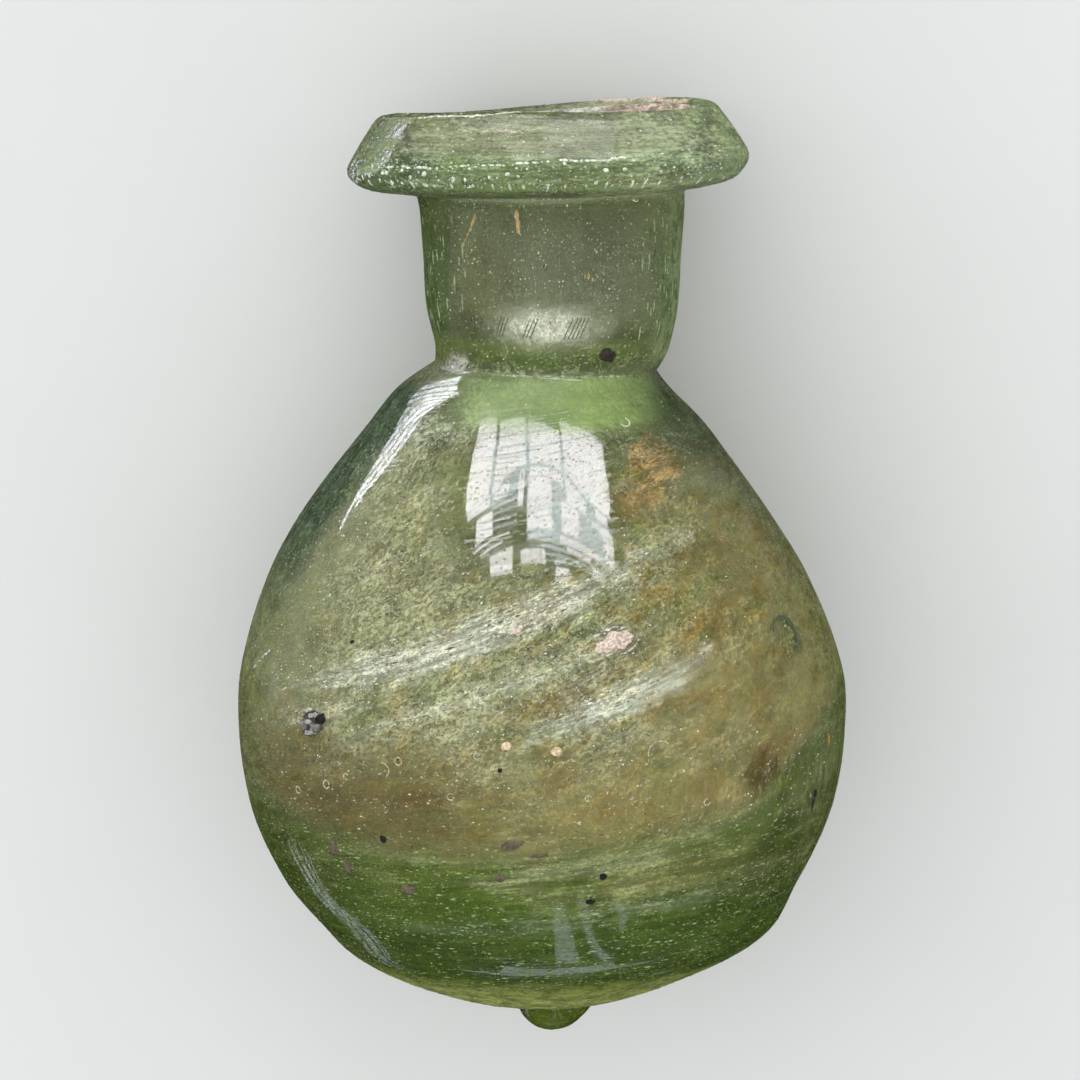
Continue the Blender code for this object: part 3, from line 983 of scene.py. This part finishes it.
    # Painted shade: the colour of the film at the silhouette, by height.
    edge_shading = coated(points, BODY_EDGE_SHADE, [
        (SHOULDER_EDGE_SHADE, ramp(z, 42, 52) * ramp(z, 72, 69)),
        (BASE_EDGE_SHADE, ramp(z, 28, 20)),
        (FOOT_EDGE_SHADE, ramp(z, 7, 4.5) * ramp(z, 0, 1.5)),
        (NECK_EDGE_SHADE, ramp(z, 69, 71)),
        (NECK_RIGHT_EDGE_SHADE, ramp(z, 69, 71) * ramp(x, 2, 8)),
    ])
    cover = 0.27 + 0.1 * cloud + 0.4 * band + 0.3 * crowd + 0.38 * foot - 0.13 * ramp(z, 69, 73)
    cover += 0.2 * upper * strata + 0.05 * below + 0.15 * rim
    # Thinner haze over the shoulder's right half deepens the painted shade there.
    cover *= 1 - 0.3 * right_shade(points) * body
    cover = np.maximum.reduce([
        cover, 0.3 * neck_foot, (0.35 - 0.15 * ramp(x, 2, 8)) * wall, 0.6 * blister, 0.6 * wedge, bevel,
        0.5 * throat, 0.5 * rust, 0.68 * gleam, 0.42 * sage, 0.5 * teal_shade, 0.5 * painted_shade, 0.85 * smear,
    ])
    cover *= 1 - 0.8 * glazed
    fleck = 0.25 + 0.25 * body * ramp(cloud, -0.5, 0.3) + 0.1 * rim - 0.2 * band + 0.45 * crowd
    fleck *= (1 - 0.8 * throat) * (1 - 0.6 * base) * (1 - 0.8 * teal_shade) * (1 - 0.9 * glazed)
    scratch = 0.1 + 0.7 * crowd + 0.1 * base + 0.2 * band - 0.6 * throat - 0.5 * glazed
    rough = 1 - (0.2 + 0.4 * ramp(z, 46, 39)) * tan * body - 0.85 * throat - 0.5 * ramp(z, 69, 73) * (1 - rim)
    rough = rough - 0.5 * band - 0.5 * crowd - 0.3 * rim * (1 - band)
    rough *= (1 - 0.1 * rust) * (1 - 0.5 * glazed)
    drawn = np.clip(0.12 + 0.75 * crowd * body + 0.6 * below * body + 0.4 * rim, 0, 1) * (1 - 0.8 * rust)
    drawn *= (1 - 0.5 * foot) * ramp(z, 0.5, 5)
    return {"tint": tint, "edge_shading": edge_shading, "cover": np.clip(cover, 0, 1), "fleck": np.clip(fleck, 0, 1),
            "scratch": scratch, "mottle": mottling(points, tide) * (1 - 0.6 * crowd),
            "rough": np.clip(rough, 0.1, 1), "drawn": drawn, "grit": grit_of(points)}


def build_weathering():
    """The film outside, from the stub to the lip."""
    film = GRID[:LIP_RING] + NORMALS[:LIP_RING] * FILM_THICKNESS
    points, faces = skin_of(film)
    made_piece("weathering_film_and_painted_light", points, faces, weathering_material(), 0.02, **weathering_layers(points))


CHALK_AND_GLINT = (0.66, 0.62, 0.56)
PINK_CHALK = (0.76, 0.61, 0.5)
CREAM = (0.85, 0.66, 0.42)
PEAT = (0.15, 0.12, 0.07)
CLINKER = (0.07, 0.066, 0.06)
ASH = (0.24, 0.225, 0.2)
PALE_ASH = (0.46, 0.44, 0.4)
CHAR = (0.05, 0.035, 0.025)
PITCH = (0.02, 0.018, 0.016)
RUST_RED = (0.7, 0.25, 0.06)
LIME_WHITE = (0.82, 0.86, 0.7)
STAIN_OCHRE = (0.6, 0.42, 0.2)
HATCH_GREEN = (0.14, 0.2, 0.09)
# Crusts on the outside: place, half-lengths along and across the streaks, height, and tint.
CRUSTS = [
    ((-23.8, -22.4, 34.0), 1.6, 1.25, 0.4, CLINKER),
    ((-22.8, -23.4, 34.6), 0.7, 0.6, 0.5, PITCH),
    ((-24.4, -21.8, 33.9), 0.8, 0.6, 0.6, ASH),
    ((-23.2, -23.0, 33.7), 0.75, 0.5, 0.65, ASH),
    ((-23.6, -22.6, 34.9), 0.72, 0.3, 0.5, PALE_ASH),
    ((-23.9, -22.3, 33.1), 0.75, 0.3, 0.5, PALE_ASH),
    ((-23.9, -22.3, 34.2), 0.5, 0.3, 0.75, PALE_ASH),
    ((-25.0, -21.1, 34.0), 0.35, 0.25, 0.3, CHALK_AND_GLINT),
    ((-24.3, -22.0, 35.4), 0.6, 0.25, 0.2, CHALK_AND_GLINT),
    ((7.8, -29.3, 43.7), 1.8, 0.95, 0.3, PINK_CHALK),
    ((6.4, -29.6, 43.1), 0.9, 0.6, 0.25, PINK_CHALK),
    ((-2.6, -29.8, 44.9), 0.9, 0.35, 0.12, PINK_CHALK),
    ((-21.5, -22.4, 20.9), 0.7, 0.9, 0.25, PEAT),
    ((-20.3, -22.6, 19.0), 0.5, 1.0, 0.2, PEAT),
    ((-13.6, -26.2, 17.2), 0.8, 0.6, 0.25, PEAT),
    ((-3.1, -31.5, 22.8), 1.1, 0.5, 0.2, PEAT),
    ((-4.2, -30.1, 19.2), 0.55, 0.5, 0.2, PEAT),
    ((-0.2, -31.4, 21.8), 0.9, 0.22, 0.15, PEAT),
    ((-16.3, -27.1, 22.7), 0.4, 0.45, 0.2, PITCH),
    ((6.4, -29.8, 19.3), 0.4, 0.45, 0.2, PITCH),
    ((5.1, -28.7, 16.5), 0.5, 0.35, 0.2, PITCH),
    ((-4.2, -32.5, 30.8), 0.25, 0.25, 0.15, PITCH),
    ((-19.5, -23.9, 42.8), 0.35, 0.2, 0.12, PITCH),
    ((28.8, -14.2, 25.3), 0.45, 0.5, 0.2, PITCH),
    ((28.3, -14.2, 24.2), 0.2, 0.8, 0.15, PITCH),
    ((-3.5, -32.6, 33.3), 0.55, 0.5, 0.25, CREAM),
    ((1.6, -32.7, 32.8), 0.6, 0.45, 0.2, CREAM),
    ((30.3, -12.2, 30.7), 0.22, 0.6, 0.15, RUST_RED),
    ((6.9, -10.9, 71.5), 0.9, 0.75, 0.25, CHAR),
]


# Broken pale lines: the points they run through, how many crumbs make them, their width, and tint.
CRUMB_LINES = [
    ([(-8.2, -8.8, 69.9), (-4.5, -11.2, 69.6), (0, -12, 69.3), (5.5, -10.9, 69.1)], 34, 0.1, CHALK_AND_GLINT),
    ([(6, -10.6, 69.1), (9.0, -8.2, 69.0)], 5, 0.1, CHALK_AND_GLINT),
    # Painted highlight: the bright line along the near lip.
    ([(-13.0, -12.4, 96.5), (-6, -16.6, 96.6), (4, -17.1, 96.9)], 60, 0.14, LIME_WHITE),
    ([(-1.6, -13.2, 75.3), (2.8, -13.0, 75.4)], 9, 0.13, LIME_WHITE),
    ([(-0.8, -12.9, 73.9), (2.2, -12.8, 73.9)], 5, 0.12, LIME_WHITE),
    ([(3, -17.2, 96.8), (8, -15.6, 97.1)], 7, 0.12, CHALK_AND_GLINT),
    ([(-6, -17.9, 95.2), (-2, -18.7, 95.0)], 9, 0.12, PINK_CHALK),
    ([(-7.2, -11.9, 86.2), (-7.9, -11.4, 84.6), (-9.0, -10.5, 82.5)], 16, 0.12, STAIN_OCHRE),
    ([(-2.6, -13.8, 86.4), (-2.4, -13.8, 84.8)], 9, 0.2, STAIN_OCHRE),
    ([(4.5, -13.1, 80.0), (5.8, -12.7, 79.4)], 4, 0.14, STAIN_OCHRE),
    # Painted highlight: the bright broken line round the rim, where its band meets the roll.
    ([(-18.6, -9.6, 91.3), (-12.5, -16.9, 91.6), (-4, -20.6, 91.8)], 24, 0.13, LIME_WHITE),
    ([(-4, -20.6, 91.8), (5, -20.4, 92.2), (9, -19.0, 92.5)], 26, 0.13, LIME_WHITE),
    ([(9, -19.0, 92.5), (14, -15.6, 92.9), (18.6, -9.4, 93.0)], 14, 0.1, LIME_WHITE),
    ([(-14, -10.5, 96.6), (-9, 14.0, 96.3), (4, 17.0, 97.0), (14, 11.0, 97.3)], 40, 0.2, CHALK_AND_GLINT),
    ([(6, 16.4, 97.2), (11.5, 13.2, 97.3), (16, 7.0, 97.4)], 34, 0.28, PINK_CHALK),
    ([(5.4, -29.8, 44.2), (7.0, -29.3, 45.1), (9.4, -28.6, 45.0)], 12, 0.12, CHALK_AND_GLINT),
    ([(6.0, -29.9, 42.2), (8.4, -29.3, 42.4), (10.0, -28.6, 43.4)], 10, 0.1, CHALK_AND_GLINT),
    # Painted highlight: a glint on the left flank.
    ([(-30.5, -10.3, 38.1), (-29.6, -11.9, 39.4), (-28.6, -13.3, 40.4)], 16, 0.11, CHALK_AND_GLINT),
]
# Slanting dark hatches at the neck's foot: where each stands, in millimetres right of the middle.
HATCHES = (-5.2, -4.8, -4.4, -1.9, -1.5, -1.1, 2.4, 2.9, 3.3, 3.7, 4.1)
# Fine strokes up the sides of the neck, of which every third one is dark, and crumbs on the rim's roll.
NECK_STROKES = 70
STROKE_GREEN = (0.36, 0.45, 0.25)
STROKE_DARK = (0.1, 0.16, 0.06)
ROLL_CRUMBS = 80
# Short upright marks below the rim's roll: where along it, in degrees from the front, and their half-length.
ROLL_MARKS = [
    (-62, 0.3), (-50, 0.45), (-41, 0.4), (-33, 0.25), (-27, 0.5), (-21, 0.3), (-14, 0.45), (-9, 0.6),
    (-5, 0.35), (2, 0.5), (7, 0.3), (13, 0.25), (19, 0.55), (27, 0.6), (31, 0.75), (36, 0.4),
    (44, 0.3), (52, 0.6), (58, 0.35), (66, 0.3),
]
ROLL_RADIUS = 20.8
MARK_HEIGHT = 89.7


def on_roll(turn, radius, height):
    """The place on the rim's roll at this turn to the right of the front."""
    x = radius * math.sin(turn)
    return x, -radius * math.cos(turn), height + x * math.tan(COLLAR_TILT)


def crumb_lines():
    """The fine crusts and painted highlights, in CRUSTS' form: broken lines, hatches, strokes, what sits on
    the roll.
    """
    chance = random.Random(23)
    found = []
    for stations, count, width, tint in CRUMB_LINES:
        path = smooth_curve(stations, 12)
        for k in range(count):
            at = (k + chance.uniform(0.2, 0.8)) / count * (len(path) - 1)
            place = path[int(at)] + (path[min(int(at) + 1, len(path) - 1)] - path[int(at)]) * (at % 1)
            place = place + np.array([0, 0, chance.gauss(0, 0.5 * width)])
            size = width * chance.uniform(0.6, 1.3)
            found.append((place, size * chance.uniform(1.0, 3.5), size, 0.6 * size, tint))
    for right in HATCHES:
        places = [(right + 0.12 * k, -12.6, 73.5 + 0.28 * k) for k in range(8)]
        found += [(place, 0.2, 0.07, 0.12, HATCH_GREEN) for place in places]
    for k in range(NECK_STROKES):
        turn = (-1) ** k * math.radians(chance.uniform(42, 78))
        height = chance.uniform(73.5, 86.5)
        radius = NECK_RADIUS - 0.02 * (86 - height)
        place = (1.2 + radius * math.sin(turn), -radius * math.cos(turn), height)
        found.append((place, chance.uniform(0.3, 0.9), 0.1, 0.09, (STROKE_GREEN, STROKE_DARK)[k % 3 == 0]))
    for _ in range(ROLL_CRUMBS):
        place = on_roll(math.radians(chance.uniform(-78, 78)), ROLL_RADIUS, chance.uniform(89.3, 91.8))
        size = 0.08 + 0.17 * chance.random() ** 2
        found.append((place, 1.3 * size, size, 0.6 * size, LIME_WHITE))
    for turn, long in ROLL_MARKS:
        place = on_roll(math.radians(turn), ROLL_RADIUS - 0.2, MARK_HEIGHT)
        found.append((place, long, 0.14, 0.1, LIME_WHITE))
    return found


def build_crusts():
    """Low ragged lumps of crust and painted highlight on the glass, with their undersides sunk a little into
    it.
    """
    points, faces, tints = [], [], []
    count = 0
    for k, (place, long, wide, high, tint) in enumerate(CRUSTS + crumb_lines()):
        shape, corners = ball(4 if long > 0.7 else 2)
        row, step = nearest(place)
        axes = streak_frame(row, step)
        ragged = 1 + 0.4 * wavy(shape, 0.6, 40 + k, 4)[:, None]
        lump = (shape * ragged) @ (axes * np.array([long, wide, high])[:, None])
        faces += (corners + count).tolist()
        count += len(shape)
        inward = axes[2] @ (GRID[row, step] - np.array(place))
        points.append(np.array(place) + inward * axes[2] + lump)
        tints.append(np.broadcast_to(tint, shape.shape))
    points = np.vstack(points)
    material = crumbly_material("crust_and_painted_glint", (3.2, 4, 0.75), (0.38, 0.62, 0.55, 1.2), (0.7, 0.95), 0.6)
    made_piece("crusts_and_painted_glints", points, faces, material, 0.05, form=points, tint=np.vstack(tints))


PALE_GRAIN = (0.8, 0.82, 0.64)
RING_PALE = (0.62, 0.59, 0.42)
BLISTER_DARK = (0.14, 0.17, 0.09)
# Kinds of grain: share of them all, and tint.
GRAIN_KINDS = [
    (0.62, PALE_GRAIN),
    (0.12, (0.92, 0.93, 0.86)),
    (0.14, (0.6, 0.52, 0.26)),
    (0.12, (0.32, 0.28, 0.13)),
]
GRAIN_COUNT = 22000
# What tints the grains of the base.
BASE_DYE = (0.5, 0.63, 0.36)
# Rings and arcs that opened bubbles left: place, radius, degrees where the mark starts and ends, and tint.
OPEN_BUBBLES = [
    ((-16.6, -28.0, 29.6), 0.75, -70, 80, RING_PALE),
    ((-22.3, -23.8, 28.3), 0.42, 0, 330, RING_PALE),
    ((-20.2, -25.6, 28.6), 0.3, 20, 300, RING_PALE),
    ((-14.8, -29.2, 31.0), 0.4, 0, 340, RING_PALE),
    ((-9.0, -31.3, 28.2), 0.35, 40, 360, RING_PALE),
    ((-6.5, -31.8, 32.2), 0.3, 0, 300, RING_PALE),
    ((-1.0, -32.2, 41.0), 0.5, 30, 250, RING_PALE),
    ((12.0, -30.5, 32.2), 1.3, 30, 175, RING_PALE),
    ((5.0, -32.3, 28.0), 0.3, 0, 290, RING_PALE),
    ((-25.2, -20.6, 26.6), 0.35, 0, 320, RING_PALE),
    ((17.0, -28.0, 27.2), 0.35, 60, 350, RING_PALE),
    ((8.6, -13.8, 65.0), 0.6, 200, 420, PALE_GRAIN),
    ((25.6, -17.0, 41.9), 2.3, -60, 150, BLISTER_DARK),
    ((25.6, -17.0, 41.9), 2.15, -55, 110, BLISTER_DARK),
    ((25.6, -17.0, 41.9), 2.0, -50, 95, BLISTER_DARK),
    ((25.6, -17.0, 41.9), 1.85, -40, 80, BLISTER_DARK),
]


def octahedron():
    """Vertices and faces of the plainest grain."""
    points = np.array([(1, 0, 0), (0, 1, 0), (-1, 0, 0), (0, -1, 0), (0, 0, 1), (0, 0, -1)], float)
    faces = [(k, (k + 1) % 4, 4) for k in range(4)] + [((k + 1) % 4, k, 5) for k in range(4)]
    return points, np.array(faces)


def wanted_grains(field, crowd):
    """How many grains each of these points of the outside should have near it, against the others."""
    flat = field.reshape(-1, 3)
    x, y, z = flat.T
    ring = np.linalg.norm(np.roll(field, -1, axis=1) - field, axis=2)
    rise = np.linalg.norm(np.gradient(field, axis=0), axis=2)
    tan = soil_marks(flat)[3]
    wanted = 0.8 + 2.4 * crowd + 0.6 * ramp(z, *RIM_FOOT) - 1.0 * ramp(z, 91.5, 93)
    wanted += 0.2 * ramp(z, 26, 20) + 0.2 * ramp(z, *NECK_START) * ramp(z, *RIM_FOOT[::-1])
    wanted -= 0.4 * tan * ramp(z, 44, 38) + 0.7 * ramp(z, 62, 65) * ramp(z, 70, 69)
    wanted *= (1 - 0.8 * window_zone(flat)) * (1 - 0.8 * ramp(x, 8, 14) * ramp(z, 30, 36) * ramp(z, 66, 62))
    wanted *= 0.5 + 1.0 * ramp(wavy(flat, 3.0, 51, 3), -0.5, 0.5)
    return wanted * (0.3 + 0.7 * ramp(y, 10, -4)) * ramp(z, 0.3, 2) * (ring * rise).ravel()


def build_grains():
    """Thousands of fine grains outside, crowded along the pale bands, and the marks of opened bubbles."""
    chance = np.random.default_rng(5)
    shape, corners = octahedron()
    field = GRID[:LIP_RING]
    crowd = band_strength(field.reshape(-1, 3))
    wanted = wanted_grains(field, crowd)
    picks = chance.choice(len(wanted), GRAIN_COUNT, p=wanted / wanted.sum())
    rows, steps = np.unravel_index(picks, field.shape[:2])
    beside, above = chance.random((2, GRAIN_COUNT, 1))
    corner = GRID[rows, steps]
    z = corner[:, 2]
    place = corner + (field[np.minimum(rows + 1, LIP_RING - 1), steps] - corner) * above
    place += (field[rows, (steps + 1) % TURN_STEPS] - corner) * beside
    place += NORMALS[rows, steps] * FILM_THICKNESS
    size = (0.05 + 0.09 * chance.random(GRAIN_COUNT) ** 3) * np.where(z > COLLAR_HEIGHT, 1.2, 1)
    size *= 1 - 0.25 * ramp(z, *NECK_START) * ramp(z, *RIM_FOOT[::-1])
    long = size * (1 + (0.6 + 3 * crowd[picks] + 2.8 * ramp(z, 27, 22)) * chance.random(GRAIN_COUNT))
    kinds = chance.choice(len(GRAIN_KINDS), GRAIN_COUNT, p=[share for share, _ in GRAIN_KINDS])
    tints = np.array([tint for _, tint in GRAIN_KINDS])[kinds] * chance.uniform(0.45, 1.1, (GRAIN_COUNT, 1))
    tints = tints * (1 + (np.array(BASE_DYE) - 1) * ramp(place[:, 2], 28, 22)[:, None])
    # Painted shade: grains are darker the further they turn away from the front.
    tints = tints * (0.4 + 0.6 * ramp(-NORMALS[rows, steps, 1], 0.1, 0.65))[:, None]
    sizes = np.column_stack([long, size, 0.5 * size])
    axes = streak_frames(rows, steps)
    # Beads an eighth of a millimetre apart make up each ring.
    for spot, radius, start, end, tint in OPEN_BUBBLES:
        row, step = nearest(spot)
        own = streak_frame(row, step)
        turn = np.radians(np.arange(start, end, 7 / radius))[:, None]
        middle = GRID[row, step] + own[2] * FILM_THICKNESS
        place = np.vstack([place, middle + radius * (own[0] * np.cos(turn) + own[1] * np.sin(turn))])
        axes = np.concatenate([axes, np.repeat(own[None], len(turn), axis=0)])
        sizes = np.vstack([sizes, np.full((len(turn), 3), 0.1)])
        tints = np.vstack([tints, np.broadcast_to(tint, (len(turn), 3))])
    points = (place[:, None] + shape @ (axes * sizes[:, :, None])).reshape(-1, 3)
    faces = (corners + len(shape) * np.arange(len(place))[:, None, None]).reshape(-1, 3).tolist()
    tints = np.repeat(tints, len(shape), axis=0)
    material = crumbly_material("stuck_grains", (4.0, 3, 0.7), (0.35, 0.65, 0.5, 1.2), (0.55, 0.9))
    made_piece("stuck_grains", points, faces, material, 0.04, form=points, tint=tints)


build_glass()
build_soil()
build_weathering()
build_crusts()
build_grains()


# ---------------------------------------------------------------- floor, light and camera

FLOOR_REACH = 6.0
LIGHT_FROM = (-0.2, 0.55, 0.81)
SKY_COLOUR = (0.96, 0.98, 1.0, 1)
SKY_DIM = 0.6
SKY_BRIGHT = 2.0
SKY_IN_REFLECTIONS = 0.09
BACKDROP = 0.84
COOL = (0.85, 0.92, 1.0)
# How far the windows stand from the flask, and how high the panes on the floor lie, in metres.
WINDOW_AWAY = 0.8
FLAT_PANE_HEIGHT = 0.003


def build_floor():
    corners = [(x * FLOOR_REACH, y * FLOOR_REACH, 0) for x, y in ((-1, -1), (1, -1), (1, 1), (-1, 1))]
    new_mesh("floor", corners, [(0, 1, 2, 3)], floor_material())


def build_world():
    """A soft sky, brightest above the mouth's left, which reflections see dark, as in a room with windows."""
    world = bpy.data.worlds.new("studio")
    bpy.context.scene.world = world
    world.cycles.sampling_method = "NONE"
    n = Nodes(world)
    direction = n.add("TexCoord", {}, "Generated")
    facing = n.add("VectorMath", {0: direction, 1: LIGHT_FROM}, "Value", operation="DOT_PRODUCT")
    sky = n.span(facing, 0.35, 1.0, SKY_DIM, SKY_BRIGHT)
    seen = n.add("Mix", {0: n.mirrored(), 2: sky, 3: SKY_IN_REFLECTIONS})
    seen = n.add("Mix", {0: n.add("LightPath", {}, "Is Camera Ray"), 2: seen, 3: BACKDROP})
    n.fill("Background", {"Color": SKY_COLOUR, "Strength": seen})


def glow_material(name, colour, strength):
    """Light that only the front of a pane gives off."""
    n = new_material(name)
    n.tree.nodes.remove(n.tree.nodes["Principled BSDF"])
    light = n.add("Emission", {"Color": (*colour, 1), "Strength": strength})
    behind = n.add("NewGeometry", {}, "Backfacing")
    glow = n.add("MixShader", {0: behind, 1: light, 2: n.add("BsdfTransparent", {})})
    n.fill("Material Output", {"Surface": glow})
    n.owner.cycles.emission_sampling = "NONE"
    return n.owner


def build_glow(name, light, colour, strength, panes):
    """Panes of four corners each that only reflections see, and that give off this light."""
    corners = [corner for pane in panes for corner in pane]
    faces = [tuple(range(4 * k, 4 * k + 4)) for k in range(len(panes))]
    piece = new_mesh(name, corners, faces, glow_material(light, colour, strength))
    for ray in ("camera", "diffuse", "transmission", "volume_scatter", "shadow"):
        setattr(piece, "visible_" + ray, False)


def upright_pane(left, right, low, high, away):
    """A pane across the view along Y, this far from the flask, that faces it."""
    corners = [(left, away, low), (right, away, low), (right, away, high), (left, away, high)]
    return corners if away > 0 else corners[::-1]


def flat_pane(left, right, near, far):
    """A pane just above the floor that faces up."""
    return [(x, y, FLAT_PANE_HEIGHT) for x, y in ((left, near), (right, near), (right, far), (left, far))]


# The window's clear panes, each with its left, right, lower and upper edges in metres.
WINDOW_PANES = [
    (-0.385, -0.26, 0.004, 0.168),
    (-0.24, -0.065, 0.06, 0.168),
    (-0.045, 0.15, 0.08, 0.168),
    (0.165, 0.42, 0.004, 0.165),
    (-0.38, -0.25, 0.173, 0.195),
    (-0.23, -0.15, 0.174, 0.19),
    (-0.1, -0.07, 0.175, 0.228),
    (-0.04, 0.15, 0.174, 0.19),
    (0.165, 0.27, 0.172, 0.21),
    (0.32, 0.40, 0.172, 0.2),
    (-0.33, -0.235, 0.212, 0.275),
    (-0.045, 0.085, 0.194, 0.285),
    (0.13, 0.23, 0.214, 0.285),
    (0.30, 0.37, 0.215, 0.235),
    (0.37, 0.43, 0.21, 0.3),
    (-0.34, -0.14, 0.284, 0.29),
    (-0.3, -0.18, 0.302, 0.308),
    (0.12, 0.36, 0.292, 0.31),
    (0.16, 0.30, 0.316, 0.326),
    (-0.25, -0.125, 0.322, 0.395),
    (-0.08, 0.05, 0.335, 0.372),
    (0.10, 0.18, 0.375, 0.45),
    (0.31, 0.38, 0.335, 0.385),
]
# In the same form, the panes behind the base, and the dim ones and the bars of light beyond the window.
SIDE_PANES = [(0.03, 0.105, 0.17, 0.62), (0.18, 0.225, 0.17, 0.66), (0.36, 0.39, 0.4, 0.6)]
FAR_PANES = [(-0.38, 0.4, 0.1, 0.2), (-0.05, 0.42, 0.2, 0.32)]
FAR_PANES += [(0.02, 0.3, low, low + 0.008) for low in (0.327, 0.343, 0.357)]
FAR_PANES += [(-0.24, -0.1, low, low + 0.007) for low in (0.205, 0.223, 0.243, 0.264)]
# How far out each slat of the blind reaches, from the one nearest the flask's middle.
SLATS = (0.058, 0.064, 0.068, 0.069, 0.068, 0.067, 0.064, 0.058)
# Arcs of light on the floor round the flask: distance and breadth.
ARCS = ((0.108, 0.009), (0.12, 0.014), (0.138, 0.008), (0.15, 0.006))


def arc_panes():
    """Panes along each arc, broadest in its middle."""
    turns = [math.radians(turn) for turn in range(219, 252, 2)]
    ways = [Vector((math.cos(turn), math.sin(turn))) for turn in turns]
    panes = []
    for near, breadth in ARCS:
        for k, (a, b) in enumerate(zip(ways, ways[1:])):
            far = near + breadth * math.sin(math.pi * (k + 0.5) / (len(ways) - 1))
            panes.append([(*way, FLAT_PANE_HEIGHT) for way in (a * near, a * far, b * far, b * near)])
    return panes


def build_windows():
    """The window beyond the mouth that the shoulder mirrors, the light round it, and that behind the base."""
    panes = [upright_pane(*edges, WINDOW_AWAY) for edges in WINDOW_PANES]
    panes += [flat_pane(-0.41, -0.26, 0.7, 0.79), flat_pane(0.22, 0.4, 0.66, 0.79)]
    build_glow("window", "daylight", (0.95, 0.92, 0.98), 8.0, panes)
    panes = [upright_pane(*edges, -WINDOW_AWAY) for edges in SIDE_PANES]
    build_glow("side_window", "side_daylight", COOL, 2.1, panes)
    panes = [upright_pane(*edges, WINDOW_AWAY + 0.01) for edges in FAR_PANES]
    build_glow("far_window", "dim_daylight", (0.75, 0.88, 1.0), 4.5, panes)
    panes = [flat_pane(-0.14, 0.2, -0.79, -0.45), upright_pane(-0.14, 0.2, 0.004, 0.09, -WINDOW_AWAY)]
    build_glow("sill", "sill_daylight", COOL, 2.6, panes)
    panes = [flat_pane(-0.0296 - k * 0.005, -0.0262 - k * 0.005, 0.031, far) for k, far in enumerate(SLATS)]
    panes += [flat_pane(-0.074, -0.058, 0.031, 0.0335), flat_pane(-0.07, -0.062, 0.036, 0.038)]
    build_glow("blind", "blind_daylight", (0.9, 0.93, 1.0), 15.0, panes)
    build_glow("gleam", "gleam_daylight", COOL, 6.0, arc_panes())


def set_render():
    """Enough bounces for light that crosses both walls and the films on them twice."""
    scene = bpy.context.scene
    scene.view_settings.view_transform = "Standard"
    scene.cycles.caustics_refractive = True
    scene.cycles.caustics_reflective = True
    scene.cycles.max_bounces = 24
    scene.cycles.transmission_bounces = 24
    scene.cycles.glossy_bounces = 6
    scene.cycles.diffuse_bounces = 2
    scene.cycles.transparent_max_bounces = 64


CAMERA_DISTANCE = 0.55
CAMERA_RISE = math.radians(7)
CAMERA_AIM = Vector((-0.1, 0.0, 50.5)) * MM
FRAME_WIDTH = 0.11664
SENSOR_WIDTH = 36


def build_camera():
    """A camera in front of the flask, in the flask's own frame, and raised a little towards its mouth."""
    data = bpy.data.cameras.new("camera")
    data.sensor_width = SENSOR_WIDTH
    data.lens = SENSOR_WIDTH * CAMERA_DISTANCE / FRAME_WIDTH
    away = Vector((0, -math.cos(CAMERA_RISE), math.sin(CAMERA_RISE)))
    up = Vector((0, math.sin(CAMERA_RISE), math.cos(CAMERA_RISE)))
    own = Matrix((up.cross(away), up, away)).transposed().to_4x4()
    own.translation = CAMERA_AIM + away * CAMERA_DISTANCE
    flask = PLACE.copy()
    flask.translation *= MM
    camera = placed("camera", data)
    camera.matrix_world = flask @ own
    bpy.context.scene.camera = camera


build_floor()
build_world()
build_windows()
build_camera()
set_render()
